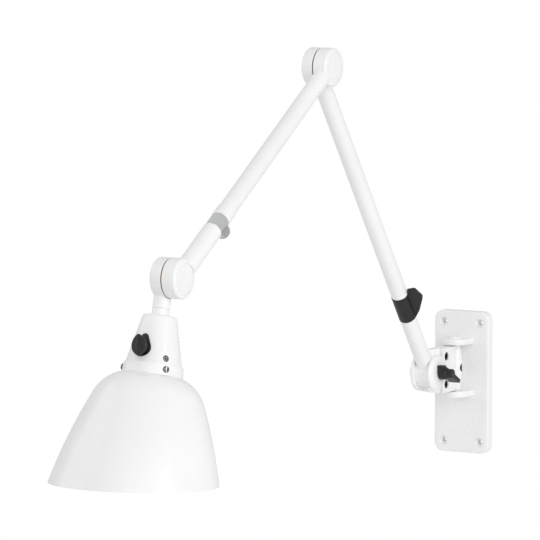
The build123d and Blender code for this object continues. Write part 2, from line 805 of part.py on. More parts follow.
body_box = block(
    (-switch_body_width / 2, -switch_body_depth, -switch_body_rise),
    (switch_body_width / 2, switch_body_depth, switch_body_drop),
)
body_box = fillet(body_box.edges().filter_by(Axis.Y), switch_body_round)
body_hole = block(
    (-switch_body_width / 2 - seat_clearance, -switch_body_depth, -switch_body_rise - seat_clearance),
    (switch_body_width / 2 + seat_clearance, switch_body_depth, switch_body_drop + seat_clearance),
)
housing -= switch_in_head * body_hole
recess_start = holder_ring_inner
screw_seat_depth = shade_screw_head_radius**2 / (2 * collar_end_radius)
screw_seat = collar_end_radius - (collar_end - shade_screw_height) * (
    (collar_end_radius - collar_top_radius) / (collar_end - housing_bottom)
) - 2 * screw_seat_depth
for turn in (shade_screw_angle, shade_screw_angle + 120, shade_screw_angle + 240):
    spoke = Location((0, 0, 0), (0, 0, -turn))
    housing -= spoke * Pos(0, 0, shade_screw_height) * out_rod(
        shade_screw_radius + seat_clearance, collar_inner - 1, collar_end_radius + 1
    )
    housing -= spoke * Pos(0, 0, shade_screw_height) * out_rod(
        shade_screw_head_radius + running_clearance, screw_seat, collar_end_radius + 1
    )
    housing -= spoke * Pos(0, 0, holder_screw_height) * out_rod(
        holder_screw_recess_radius, recess_start, collar_end_radius
    )
save("lamp_housing", housing, head)

# ---- shade: a spun bell that leans out from the collar, cut aslant at its rim, with a spigot
# inside the collar. Its own frame hangs from the collar's end, with Z down the bell.
shade_top = collar_end + face_clearance
shade_frame = Location((0, 0, shade_top), (-shade_lean, 0, 0))
bell_top_radius = collar_end_radius + shade_ledge
shoulder_depth = math.sqrt(shoulder_radius**2 - (bell_top_radius - shoulder_centre_radius) ** 2)
spigot_outer = collar_inner - running_clearance
spigot_inner = spigot_outer - shade_wall
spigot_top = shade_top - shade_spigot_height
foot_depth = rim_depth + shoulder_radius


def bell(inset):
    """The filled bell, drawn in by a margin: a shoulder arc and a long flank arc tangent to it."""
    shoulder = math.radians(shoulder_angle)
    flank_centre = (
        shoulder_centre_radius - (flank_radius - shoulder_radius) * math.cos(shoulder),
        shoulder_depth + (flank_radius - shoulder_radius) * math.sin(shoulder),
    )
    foot = math.asin((flank_centre[1] - foot_depth) / (flank_radius - inset))

    def on_arc(centre, radius, angle):
        return (centre[0] + radius * math.cos(angle), 0, centre[1] - radius * math.sin(angle))

    def arc(centre, radius, start, stop):
        angles = (start, (start + stop) / 2, stop)
        return ThreePointArc(*[on_arc(centre, radius - inset, a) for a in angles])

    crown = (shoulder_centre_radius, shoulder_depth)
    first = on_arc(crown, shoulder_radius - inset, math.pi / 2)
    last = on_arc(flank_centre, flank_radius - inset, foot)
    edge = arc(crown, shoulder_radius, math.pi / 2, shoulder)
    edge += arc(flank_centre, flank_radius, shoulder, foot)
    edge += Polyline(last, (0, 0, last[2]), (0, 0, first[2]), first)
    return shade_frame * revolve(make_face(edge), Axis.Z)


def below(level):
    """All the space below a level under the housing."""
    span = 2 * (rim_depth + flank_radius)
    return Pos(0, 0, level + span / 2) * Box(span, span, span)


rim_plane = shade_frame * Pos(0, rim_offset, rim_depth) * Rot(rim_angle, 0, 0)
shade = bell(0) & below(shade_top)
shade -= bell(shade_wall) & below(shade_top + shade_wall)
shade -= rim_plane * below(0)
shade += rod(spigot_outer, spigot_top, shade_top + shade_wall / 2)
shade -= rod(spigot_inner, spigot_top, shade_top + shade_wall)
ring_outer = spigot_inner - running_clearance
ring_top = shade_screw_height - shade_ring_height / 2
shade_ring = tube(ring_outer, ring_outer - shade_ring_wall, ring_top, ring_top + shade_ring_height)
screws = []
holder_screws = []
holder_ring_top = holder_screw_height - holder_screw_radius - running_clearance
holder_ring = tube(holder_ring_outer, holder_ring_inner, holder_ring_top, holder_ring_top + holder_ring_height)
for turn in (shade_screw_angle, shade_screw_angle + 120, shade_screw_angle + 240):
    spoke = Location((0, 0, 0), (0, 0, -turn))
    hole = spoke * Pos(0, 0, shade_screw_height) * out_rod(
        shade_screw_radius + seat_clearance, ring_outer - shade_ring_wall - 1, collar_inner
    )
    shade -= hole
    shade_ring -= hole
    screw = out_rod(shade_screw_radius, ring_outer - shade_ring_wall, screw_seat)
    head_solid = out_rod(shade_screw_head_radius, screw_seat, screw_seat + shade_screw_head_height)
    head_solid = fillet(head_solid.edges().sort_by(Axis.Y)[-1], shade_screw_head_height * 0.7)
    head_solid -= Pos(0, screw_seat + shade_screw_head_height, 0) * Box(
        2 * shade_screw_head_radius, shade_screw_head_height, screw_slot_width
    )
    screws.append(spoke * Pos(0, 0, shade_screw_height) * (screw + head_solid))
    holder_hole = spoke * Pos(0, 0, holder_screw_height) * out_rod(
        holder_screw_radius + seat_clearance, holder_ring_inner - 1, holder_ring_outer + 1
    )
    holder_ring -= holder_hole
    grub = out_rod(holder_screw_radius, holder_ring_inner + seat_clearance, inner_bottom)
    socket = Rot(-90, 0, 0) * hexagon_bar(holder_screw_radius / 2, inner_bottom - 1.5, inner_bottom)
    holder_screws.append(spoke * Pos(0, 0, holder_screw_height) * (grub - socket))
save("lamp_shade", shade, head)
save("shade_ring", shade_ring, head)
save("shade_screws", Compound(children=screws), head)
save("holder_ring", holder_ring, head)
save("holder_screws", Compound(children=holder_screws), head)

# ---- lampholder for a screw-base lamp
holder_top = holder_ring_top + holder_seat
holder_end = holder_top + holder_length
holder_inner = holder_radius - holder_wall
holder = rod(holder_radius, holder_top, holder_end)
holder -= rod(holder_inner, holder_top + holder_wall, holder_end)
holder -= rod(cable_bore, holder_top, holder_top + holder_wall)
save("lampholder_shell", holder, head)
core_top = holder_top + holder_wall + face_clearance
core_end = core_top + socket_core_height
core = rod(holder_inner - seat_clearance, core_top, core_end)
core -= rod(cable_bore, core_top, core_end - contact_arch)
save("lampholder_core", core, head)
contact = rod(contact_radius, core_end + face_clearance, core_end + contact_thickness + contact_arch)
contact = fillet(contact.edges().sort_by(Axis.Z)[-1], contact_thickness)
save("centre_contact", contact, head)
socket_start = core_end + face_clearance
socket_shell = tube(
    socket_shell_radius, socket_shell_radius - socket_shell_wall, socket_start, socket_start + socket_shell_length
)
socket_shell += tube(
    holder_inner - part_clearance, socket_shell_radius - socket_shell_wall, socket_start, socket_start + 1.2
)
save("lampholder_thread", socket_shell, head)

# ---- rotary switch, square to the housing's taper
def pear(grow):
    """The switch plate's outline: a disc with a narrower tab towards the neck."""
    disc = Circle(switch_plate_radius + grow)
    tab = Pos(0, -switch_tab_reach) * Circle(switch_tab_radius + grow)
    return make_hull((disc + tab).edges())


slab = Rot(90, 0, 0) * extrude(pear(0), switch_plate_radius, both=True)
slab = switch_in_head * slab
plate_solid = slab & (cone_skin(seat_clearance + switch_plate_thickness) - cone_skin(seat_clearance))
pad = switch_in_head * out_rod(switch_pad_radius, -switch_plate_radius / 2, switch_pad_height)
plate_solid += pad - cone_skin(seat_clearance)
plate_solid -= switch_in_head * out_rod(
    switch_shaft_radius + running_clearance, -switch_plate_radius, switch_plate_radius
)
save("switch_plate", plate_solid, head)
save("switch_body", (switch_in_head * body_box) & cone_skin(-switch_body_sink), head)
boss_back = switch_pad_height + face_clearance
boss_front = boss_back + switch_boss_height
knob_front = boss_front + knob_height
shaft = out_rod(switch_shaft_radius, part_clearance, boss_back)
boss = out_rod(switch_boss_radius, boss_back, boss_front)
lens_radius = (knob_length**2 / 4 + knob_width**2 / 4) / knob_width
lens_offset = lens_radius - knob_width / 2
lens = Pos(-lens_offset, 0) * Circle(lens_radius) & Pos(lens_offset, 0) * Circle(lens_radius)
grip = Pos(0, knob_front, 0) * Rot(90, 0, 0) * extrude(lens, knob_height)
grip = chamfer(grip.faces().sort_by(Axis.Y)[-1].edges(), 1.2)
save("switch_knob", shaft + boss + grip, switch)
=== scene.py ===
import json
import math
import bpy
from mathutils import Matrix, Vector


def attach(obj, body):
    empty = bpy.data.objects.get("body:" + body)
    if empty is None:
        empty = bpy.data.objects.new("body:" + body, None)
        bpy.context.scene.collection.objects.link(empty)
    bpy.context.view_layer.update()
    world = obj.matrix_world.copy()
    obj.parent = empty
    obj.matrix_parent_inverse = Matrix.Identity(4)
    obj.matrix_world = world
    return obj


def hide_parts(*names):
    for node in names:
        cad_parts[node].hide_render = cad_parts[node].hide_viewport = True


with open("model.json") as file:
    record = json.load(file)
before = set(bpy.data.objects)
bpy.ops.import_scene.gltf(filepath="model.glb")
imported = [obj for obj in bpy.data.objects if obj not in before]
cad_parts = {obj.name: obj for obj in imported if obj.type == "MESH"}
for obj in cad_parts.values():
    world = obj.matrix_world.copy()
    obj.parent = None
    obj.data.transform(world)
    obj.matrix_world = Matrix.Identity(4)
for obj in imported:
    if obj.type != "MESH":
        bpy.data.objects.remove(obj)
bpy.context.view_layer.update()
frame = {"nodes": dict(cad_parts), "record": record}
print("frame loaded, nodes:", len(frame["nodes"]))

mm = 0.001
tiny = 1e-6    # metres, or a ratio's distance from one, too small to count
near = 0.1     # mm, levels closer than this are the same
past = 1.0     # mm that a cutter runs past what it opens, or that an edge spans where it runs that way


def spin(degrees, axis):
    return Matrix.Rotation(math.radians(degrees), 4, axis)


def place(x, y, z, turn=0.0):
    # a place in mm, with a turn about X in degrees
    return Matrix.Translation((x * mm, y * mm, z * mm)) @ spin(turn, "X")


# where the lamp's joints lie, in mm and degrees
reach = {"pivotY": -25.7, "lugMiddle": 18.0, "hingeY": -91.1, "hingeZ": 19.8, "armSide": 15.0}
lean = {"lower": 36.4, "outer": 57.94, "neck": 15.0}
length = {"lower": 430.0, "outer": 359.2}
elbowY = reach["hingeY"] - length["lower"] * math.sin(math.radians(lean["lower"]))
elbowZ = reach["hingeZ"] + length["lower"] * math.cos(math.radians(lean["lower"]))
headY = elbowY - length["outer"] * math.sin(math.radians(lean["outer"]))
headZ = elbowZ - length["outer"] * math.cos(math.radians(lean["outer"]))
wall = Matrix.Identity(4)
pivot = place(0, reach["pivotY"], 0)
hingeLevel = place(0, reach["hingeY"], reach["hingeZ"])
lowerArm = place(0, reach["hingeY"], reach["hingeZ"], lean["lower"])
outerArm = place(reach["armSide"], elbowY, elbowZ, 180 - lean["outer"])
lampHead = place(0, headY, headZ, 180 - lean["neck"])
alongX = spin(90, "Y")    # carries a turned piece's own Z onto X
alongY = spin(-90, "X")   # carries a turned piece's own Z onto Y
upright = Matrix(((0, 0, 1, 0), (1, 0, 0, 0), (0, 1, 0, 0), (0, 0, 0, 1)))    # carries X, Y, Z onto Y, Z, X


# modelling helpers, each does one step as it is done by hand

def only(piece):
    bpy.ops.object.select_all(action="DESELECT")
    piece.select_set(True)
    bpy.context.view_layer.objects.active = piece


def bake(piece, matrix):
    only(piece)
    piece.matrix_world = matrix @ piece.matrix_world
    bpy.ops.object.transform_apply(location=True, rotation=True, scale=True)


def edit(piece, how="EDGE", chosen="DESELECT"):
    only(piece)
    bpy.ops.object.mode_set(mode="EDIT")
    bpy.ops.mesh.select_mode(type=how)
    bpy.ops.mesh.select_all(action=chosen)


def leave():
    bpy.ops.object.mode_set(mode="OBJECT")


def faceOut(piece):
    edit(piece, "FACE", "SELECT")
    bpy.ops.mesh.normals_make_consistent(inside=False)
    leave()


def turned(name, rings, closed=False, sides=72):
    # a lathe piece: a circle that is extruded and scaled from ring to ring, (radius, height) in mm
    radius, height = rings[0]
    bpy.ops.object.select_all(action="DESELECT")
    fill = "NOTHING" if closed else "NGON"
    bpy.ops.mesh.primitive_circle_add(vertices=sides, radius=radius * mm, fill_type=fill)
    piece = bpy.context.object
    piece.name = name
    bake(piece, Matrix.Translation((0, 0, height * mm)))
    edit(piece, "VERT", "SELECT")
    for (fromRadius, fromHeight), (toRadius, toHeight) in zip(rings, rings[1:]):
        rise = (0, 0, (toHeight - fromHeight) * mm)
        bpy.ops.mesh.extrude_region_move(TRANSFORM_OT_translate={"value": rise})
        grow = toRadius / fromRadius
        if abs(grow - 1) > tiny:
            bpy.ops.transform.resize(value=(grow, grow, 1), center_override=(0, 0, toHeight * mm))
    bpy.ops.mesh.select_all(action="SELECT")
    bpy.ops.mesh.remove_doubles(threshold=tiny)
    leave()
    faceOut(piece)
    return piece


def slab(name, low, high):
    # a block between two corners, in mm
    size = [b - a for a, b in zip(low, high)]
    middle = [(a + b) / 2 for a, b in zip(low, high)]
    bpy.ops.object.select_all(action="DESELECT")
    bpy.ops.mesh.primitive_cube_add(size=mm)
    piece = bpy.context.object
    piece.name = name
    bake(piece, Matrix.Translation(Vector(middle) * mm) @ Matrix.Diagonal((*size, 1)))
    return piece


def sleeve(name, outside, inside, low, high, edge=0.3):
    # a tube whose two outer corners are broken
    return turned(name, [
        (inside, low), (outside - edge, low), (outside, low + edge), (outside, high - edge),
        (outside - edge, high), (inside, high), (inside, low),
    ], closed=True)


def outline(name, points, thickness):
    # a flat plate drawn corner by corner in X and Y, then thickened along Z
    bpy.ops.object.select_all(action="DESELECT")
    bpy.ops.mesh.primitive_circle_add(vertices=len(points), radius=mm, fill_type="NOTHING")
    piece = bpy.context.object
    piece.name = name
    for index, (x, y) in enumerate(points):
        edit(piece, "VERT")
        leave()
        corner = piece.data.vertices[index]
        corner.select = True
        move = (x * mm - corner.co.x, y * mm - corner.co.y, 0)
        bpy.ops.object.mode_set(mode="EDIT")
        bpy.ops.transform.translate(value=move)
        leave()
    edit(piece, "VERT", "SELECT")
    bpy.ops.mesh.edge_face_add()
    bpy.ops.mesh.extrude_region_move(TRANSFORM_OT_translate={"value": (0, 0, thickness * mm)})
    leave()
    faceOut(piece)
    return piece


def combine(piece, other, how="UNION"):
    only(piece)
    step = piece.modifiers.new("combine", "BOOLEAN")
    step.operation = how
    step.solver = "EXACT"
    step.object = other
    bpy.ops.object.modifier_apply(modifier=step.name)
    bpy.data.objects.remove(other, do_unlink=True)


def cut(piece, cutter, matrix=wall):
    bake(cutter, matrix)
    combine(piece, cutter, "DIFFERENCE")


def drill(piece, radius, low, high, matrix=wall, sides=72):
    # a straight hole along the place's own Z
    cut(piece, turned("cutter", [(radius, low), (radius, high)], sides=sides), matrix)


def soften(piece, width, steps=3, angle=40):
    only(piece)
    step = piece.modifiers.new("soften", "BEVEL")
    step.width = width * mm
    step.segments = steps
    step.limit_method = "ANGLE"
    step.angle_limit = math.radians(angle)
    bpy.ops.object.modifier_apply(modifier=step.name)


def roundEdges(piece, test, width, steps):
    # picks edges by a test on their two ends and bevels them
    edit(piece, "EDGE")
    leave()
    points = [v.co / mm for v in piece.data.vertices]
    for edge in piece.data.edges:
        edge.select = test(points[edge.vertices[0]], points[edge.vertices[1]])
    bpy.ops.object.mode_set(mode="EDIT")
    bpy.ops.mesh.bevel(offset=width * mm, segments=steps, affect="EDGES")
    leave()


def arc(centre, radius, start, stop, steps):
    # points of a round, for an outline: angles in degrees from the first axis to the second
    turns = [math.radians(start + (stop - start) * i / steps) for i in range(steps + 1)]
    return [(centre[0] + radius * math.cos(t), centre[1] + radius * math.sin(t)) for t in turns]


def finish(piece, matrix, body, slotName, *nodes, smooth=35, look=None):
    # sets a piece in its place on its body, in the look of its slot or in one of its own
    bake(piece, matrix)
    only(piece)
    bpy.ops.object.shade_smooth_by_angle(angle=math.radians(smooth))
    piece.data.materials.clear()
    piece.data.materials.append(looks[look or slotLooks[slotName]])
    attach(piece, body)
    if nodes:
        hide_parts(*nodes)


# finishes

def fromHex(code):
    # an sRGB colour as a paint chart gives it, turned to linear
    parts = [int(code[i:i + 2], 16) / 255 for i in (1, 3, 5)]
    return tuple(c / 12.92 if c <= 0.04045 else ((c + 0.055) / 1.055) ** 2.4 for c in parts) + (1.0,)


def addNode(tree, kind, settings=None, links=None):
    # links go to the node's inputs by name, or by number where two share a name
    node = tree.nodes.new(kind)
    for name, value in (settings or {}).items():
        if name in node.inputs:
            node.inputs[name].default_value = value
        else:
            setattr(node, name, value)
    for name, source in (links or {}).items():
        tree.links.new(source, node.inputs[name])
    return node


finishes = {
    # polyester powder coat, baked: even white with a soft sheen and a faint orange peel
    "whitePowderCoat": {
        "colours": ("#F1F1F1", "#F5F5F5"), "metallic": 0.0, "roughness": (0.24, 0.32),
        "patchMm": 60, "grainMm": 1.6, "bumpMm": 0.004,
    },
    # the spun shade's coat is thinner over a rolled sheet, so smoother
    "whiteShadeCoat": {
        "colours": ("#F2F2F2", "#F5F5F5"), "metallic": 0.0, "roughness": (0.20, 0.27),
        "patchMm": 90, "grainMm": 2.2, "bumpMm": 0.004,
    },
    # phenolic moulding: black with a dull shine and small mottling
    "blackPhenolic": {
        "colours": ("#0E0E0F", "#18181A"), "metallic": 0.0, "roughness": (0.34, 0.50),
        "patchMm": 8, "grainMm": 0.9, "bumpMm": 0.02,
    },
    # black-oxide steel screws: dark with a weak metal glint
    "blackOxideSteel": {
        "colours": ("#17171A", "#222225"), "metallic": 0.6, "roughness": (0.38, 0.52),
        "patchMm": 5, "grainMm": 0.6, "bumpMm": 0.01,
    },
    # phosphated grub screws: a deep grey with a soft metal glint
    "phosphatedSteel": {
        "colours": ("#5A5B5E", "#6C6D70"), "metallic": 0.8, "roughness": (0.30, 0.42),
        "patchMm": 4, "grainMm": 0.5, "bumpMm": 0.008,
    },
    # bright chromium plate on a turned ring: mirror-like with faint turning marks
    "turnedChrome": {
        "colours": ("#DEDFE0", "#E9EAEB"), "metallic": 1.0, "roughness": (0.10, 0.18),
        "patchMm": 20, "grainMm": 0.8, "bumpMm": 0.004,
    },
    # nickel on the small shade screws: polished, its grey painted darker than chrome to stand in for the dark
    # reflections of shaded surroundings
    "nickelWithPaintedDarkReflection": {
        "colours": ("#77797C", "#8C8E91"), "metallic": 1.0, "roughness": (0.12, 0.20),
        "patchMm": 5, "grainMm": 0.5, "bumpMm": 0.004,
    },
    # zinc-plated steel: greyer and duller than chrome, with a cloudy bloom
    "zincPlatedSteel": {
        "colours": ("#BDBEC0", "#D2D3D5"), "metallic": 1.0, "roughness": (0.28, 0.42),
        "patchMm": 6, "grainMm": 0.7, "bumpMm": 0.01,
    },
    # vulcanised fibre washers: brown, matte, with long paper fibres
    "vulcanisedFibre": {
        "colours": ("#6E4A2C", "#8B6238"), "metallic": 0.0, "roughness": (0.60, 0.78),
        "patchMm": 10, "grainMm": 0.8, "bumpMm": 0.03, "stretch": (1, 4, 1),
    },
    # moulded nylon bearing: warm white, matte
    "whiteNylon": {
        "colours": ("#E6E5E0", "#EEEDE9"), "metallic": 0.0, "roughness": (0.50, 0.60),
        "patchMm": 12, "grainMm": 1.0, "bumpMm": 0.01,
    },
    # sintered bronze bushes: brown gold with open pores
    "sinteredBronze": {
        "colours": ("#9C7440", "#B68A50"), "metallic": 1.0, "roughness": (0.40, 0.55),
        "patchMm": 4, "grainMm": 0.4, "bumpMm": 0.02,
    },
    # steatite, the lampholder's white ceramic: off-white under a thin glaze
    "glazedSteatite": {
        "colours": ("#E4E0D6", "#EDEAE2"), "metallic": 0.0, "roughness": (0.16, 0.28),
        "patchMm": 9, "grainMm": 1.2, "bumpMm": 0.01,
    },
    # nickelled brass of the screw shell and the contact
    "rolledBrass": {
        "colours": ("#C8A866", "#D9BC7C"), "metallic": 1.0, "roughness": (0.22, 0.34),
        "patchMm": 8, "grainMm": 0.8, "bumpMm": 0.01,
    },
    # raw cast aluminium rings inside the housing
    "rawCastAluminium": {
        "colours": ("#8E8F91", "#A3A4A6"), "metallic": 1.0, "roughness": (0.48, 0.62),
        "patchMm": 7, "grainMm": 0.9, "bumpMm": 0.03,
    },
}


texture = {    # how the two noises of a finish are drawn, and the stretch of each that is used
    "patchDetail": 3.0, "patchRough": 0.55, "patchFrom": 0.35, "patchTo": 0.65,
    "grainDetail": 2.0, "grainRough": 0.5, "grainFrom": 0.3, "grainTo": 0.7,
}


def makeFinish(name, look):
    material = bpy.data.materials.new(name)
    material.use_nodes = True
    tree = material.node_tree
    tree.nodes.clear()
    where = addNode(tree, "ShaderNodeTexCoord").outputs["Object"]
    spread = addNode(tree, "ShaderNodeMapping", {"Scale": look.get("stretch", (1, 1, 1))}, {"Vector": where})
    patch, grain = [
        addNode(tree, "ShaderNodeTexNoise", {
            "Scale": 1 / (look[kind + "Mm"] * mm), "Detail": texture[kind + "Detail"],
            "Roughness": texture[kind + "Rough"],
        }, {"Vector": spread.outputs["Vector"]})
        for kind in ("patch", "grain")
    ]
    tint = addNode(tree, "ShaderNodeValToRGB", None, {"Fac": patch.outputs["Fac"]})
    tint.color_ramp.elements[0].position = texture["patchFrom"]
    tint.color_ramp.elements[1].position = texture["patchTo"]
    tint.color_ramp.elements[0].color = fromHex(look["colours"][0])
    tint.color_ramp.elements[1].color = fromHex(look["colours"][1])
    gloss = addNode(tree, "ShaderNodeMapRange", {
        "From Min": texture["grainFrom"], "From Max": texture["grainTo"],
        "To Min": look["roughness"][0], "To Max": look["roughness"][1],
    }, {"Value": grain.outputs["Fac"]})
    relief = addNode(
        tree, "ShaderNodeBump", {"Strength": 1.0, "Distance": look["bumpMm"] * mm},
        {"Height": grain.outputs["Fac"]},
    )
    shader = addNode(tree, "ShaderNodeBsdfPrincipled", {"Metallic": look["metallic"]}, {
        "Base Color": tint.outputs["Color"],
        "Roughness": gloss.outputs["Result"],
        "Normal": relief.outputs["Normal"],
    })
    addNode(tree, "ShaderNodeOutputMaterial", None, {"Surface": shader.outputs["BSDF"]})
    return material


looks = {name: makeFinish(name, look) for name, look in finishes.items()}
slotLooks = {
    "white_cast": "whitePowderCoat", "white_tube": "whitePowderCoat", "white_shade": "whiteShadeCoat",
    "black_plastic": "blackPhenolic", "black_steel": "blackOxideSteel", "bright_steel": "zincPlatedSteel",
    "spring_steel": "zincPlatedSteel", "chrome": "turnedChrome", "brown_fibre": "vulcanisedFibre",
    "white_nylon": "whiteNylon", "bronze": "sinteredBronze", "white_ceramic": "glazedSteatite",
    "brass": "rolledBrass", "grey_cast": "rawCastAluminium",
}
slotOf = {part["node"]: part["material_slot"] for part in frame["record"]["subparts"]}
for node, piece in frame["nodes"].items():
    for slot in piece.material_slots:
        slot.material = looks[slotLooks[slotOf[node]]]
print("finishes made:", len(looks))


# wall plate, its lugs and the pivot's caps
plate = {
    "width": 66.5, "height": 158.0, "thickness": 10.5, "corner": 10.0, "edge": 1.8,
    "holesX": 44.0, "holesZ": 133.0, "hole": 2.7, "sink": 5.2, "sinkRise": 0.6, "sinkFoot": 4.6,
    "sinkDeep": 2.6, "sinkCone": 0.8, "lug": 15.6, "lugThick": 6.2, "lugGap": 51.9, "lugEdge": 0.3,
    "lugJoin": 0.5, "pinHole": 3.05,
    "cap": 7.2, "capTall": 2.2, "capRound": 1.4, "capMiddle": 1.5, "capRise": 0.05,
}
halfWide, halfTall, thick = plate["width"] / 2, plate["height"] / 2, plate["thickness"]
wallPlate = slab("wall_plate_body", (-halfWide, -thick, -halfTall), (halfWide, 0, halfTall))
roundEdges(wallPlate, lambda a, b: abs(a.y - b.y) > past, plate["corner"], steps=12)
roundEdges(wallPlate, lambda a, b: max(a.y, b.y) < near - thick, plate["edge"], steps=5)
for x in (-plate["holesX"] / 2, plate["holesX"] / 2):
    for z in (-plate["holesZ"] / 2, plate["holesZ"] / 2):
        cut(wallPlate, turned("cutter", [
            (plate["sink"], -thick - plate["sinkRise"]), (plate["sinkFoot"], plate["sinkDeep"] - thick),
            (plate["hole"], plate["sinkDeep"] + plate["sinkCone"] - thick), (plate["hole"], past),
        ], sides=40), place(x, 0, z) @ alongY)
lugRun = -reach["pivotY"] - thick + plate["lugJoin"]
lugTop = reach["lugMiddle"] + plate["lugGap"] / 2 + plate["lugThick"]
lugBottom = reach["lugMiddle"] - plate["lugGap"] / 2 - plate["lugThick"]
lugLine = arc((0, 0), plate["lug"], -180, 0, 36) + [(plate["lug"], lugRun), (-plate["lug"], lugRun)]
for low in (lugTop - plate["lugThick"], lugBottom):
    lug = outline("lug", lugLine, plate["lugThick"])
    soften(lug, plate["lugEdge"], steps=2)
    bake(lug, place(0, reach["pivotY"], low))
    combine(wallPlate, lug)
drill(wallPlate, plate["pinHole"], -halfTall, halfTall, pivot, sides=40)
finish(wallPlate, wall, "wall_bracket", "white_cast", "wall_plate")

crown = arc((plate["cap"] - plate["capRound"], plate["capTall"] - plate["capRound"]),
            plate["capRound"], 0, 90, 5) + [(plate["capMiddle"], plate["capTall"] + plate["capRise"])]
for label, height, side in (("upper", lugTop, 1), ("lower", lugBottom, -1)):
    cap = turned("pivot_cap_" + label, [(plate["cap"], 0)] + crown, sides=56)
    bake(cap, Matrix.Diagonal((1, 1, side, 1)))
    faceOut(cap)
    finish(cap, place(0, reach["pivotY"], height), "wall_bracket", "white_cast", "pivot_caps")
print("wall bracket done")


# swivel block with its cover, screws and nylon bushes
swivel = {
    "barrel": 8.0, "barrelEnd": 5.3, "barrelTall": 49.3, "bore": 4.15, "webTall": 49.3,
    "webNear": 3.0, "webRun": 37.8, "webFace": 4.4, "webEdge": 0.5, "webJoin": 0.5, "left": -11.0,
    "cover": 3.0, "coverEdge": 0.35, "coverGap": 0.05,
    "cheek": 20.5, "cheekThick": 3.0, "cheekTurn": 80.0, "rampTop": 0.0, "rampRun": 9.0,
    "slopeClear": 12.0, "slopeWide": 40.0, "boltHole": 4.05,
    "screwReach": 29.1, "screwSpread": 30.8, "screwHead": 4.7, "screwGap": 0.1, "screwRim": 0.5,
    "screwFoot": 0.3, "screwSunk": 0.9, "seatDeep": 2.7, "socket": 2.7, "socketDeep": 1.2,
    "setScrewStart": 3.2, "setScrewEnd": 7.0, "setScrewTurn": 15.0, "setScrewGap": 0.05, "setSocketDeep": 2.0,
    "bush": 4.1, "bushBore": 3.1, "bushLong": 12.0, "bushFlange": 5.6, "bushEdge": 0.2, "gap": 0.1,
}
middleZ = reach["lugMiddle"]
webTop, webBottom = middleZ + swivel["webTall"] / 2, middleZ - swivel["webTall"] / 2
webEnd = reach["pivotY"] - swivel["webRun"]
webNear = reach["pivotY"] - swivel["webNear"]
cheekInner = swivel["left"] + swivel["cheekThick"]
coverBack = swivel["webFace"] - swivel["cover"]
barrelMiddle = place(0, reach["pivotY"], middleZ)
setScrewSpot = barrelMiddle @ spin(swivel["setScrewTurn"], "Z") @ alongX


def barrelRings(grow, steps=14):
    # the barrel's long bulge, as rings from its lower end to its upper
    half = swivel["barrelTall"] / 2
    bulge = swivel["barrel"] - swivel["barrelEnd"]
    crown = (half * half + bulge * bulge) / (2 * bulge)
    heights = [half * (2 * i / steps - 1) for i in range(steps + 1)]
    return [(swivel["barrel"] + grow - crown + math.sqrt(crown * crown - z * z), z) for z in heights]


swivelBody = slab("swivel_body", (swivel["left"], webEnd, webBottom), (coverBack, webNear, webTop))
joinY, rampY = webEnd + swivel["webJoin"], webEnd - swivel["rampRun"]
ramp = outline("ramp", [
    (swivel["left"], joinY), (swivel["left"], rampY), (cheekInner, rampY),
    (swivel["rampTop"], webEnd), (swivel["rampTop"], joinY),
], swivel["webTall"])
bake(ramp, place(0, 0, webBottom))
cheekRound = arc((reach["hingeY"], reach["hingeZ"]), swivel["cheek"],
                 180 - swivel["cheekTurn"], 180 + swivel["cheekTurn"], 32)
cheek = outline("cheek", [(joinY, webTop)] + cheekRound + [(joinY, webBottom)], swivel["cheekThick"])
bake(cheek, place(swivel["left"], 0, 0) @ upright)
for side, level, (edgeY, edgeZ) in ((1, webTop, cheekRound[0]), (-1, webBottom, cheekRound[-1])):
    clearZ = level + side * swivel["slopeClear"]
    slope = outline("cutter", [(webEnd, level), (edgeY, edgeZ), (edgeY, clearZ), (webEnd, clearZ)],
                    swivel["slopeWide"])
    cut(ramp, slope, place(-swivel["slopeWide"] / 2, 0, 0) @ upright)
combine(swivelBody, ramp)
combine(swivelBody, cheek)
soften(swivelBody, swivel["webEdge"], steps=2, angle=25)
barrel = turned("barrel", barrelRings(0), sides=64)
bake(barrel, barrelMiddle)
combine(swivelBody, barrel)
drill(swivelBody, swivel["bore"], -swivel["webTall"], swivel["webTall"], barrelMiddle, sides=48)
setScrewHole = swivel["screwHead"] + swivel["setScrewGap"]
drill(swivelBody, setScrewHole, 0, 2 * swivel["setScrewEnd"], setScrewSpot, sides=48)
drill(swivelBody, swivel["boltHole"], 2 * swivel["left"], swivel["rampTop"], hingeLevel @ alongX, sides=48)
finish(swivelBody, wall, "swivel", "white_cast", "swivel_block")

coverPlate = slab("swivel_cover_plate", (coverBack, webEnd, webBottom), (swivel["webFace"], webNear, webTop))
cut(coverPlate, turned("cutter", barrelRings(swivel["coverGap"]), sides=64), barrelMiddle)
soften(coverPlate, swivel["coverEdge"], steps=2)
seatStart = swivel["webFace"] - swivel["seatDeep"]
screwHole = swivel["screwHead"] + swivel["screwGap"]
screwSpots = [
    place(0, reach["pivotY"] - swivel["screwReach"], middleZ + side * swivel["screwSpread"] / 2) @ alongX
    for side in (1, -1)
]
for spot in screwSpots:
    drill(coverPlate, screwHole, seatStart, 2 * swivel["webFace"], spot, sides=48)
finish(coverPlate, wall, "swivel", "white_cast", "swivel_cover")


def hexScrew(name, low, high, deep):
    # a round head with a six-sided socket and a broken rim
    radius, foot, rim = swivel["screwHead"], swivel["screwFoot"], swivel["screwRim"]
    screw = turned(name, [
        (radius - foot, low), (radius, low + foot), (radius, high - rim), (radius - rim, high),
    ], sides=48)
    drill(screw, swivel["socket"], high - deep, high + past, sides=6)
    return screw


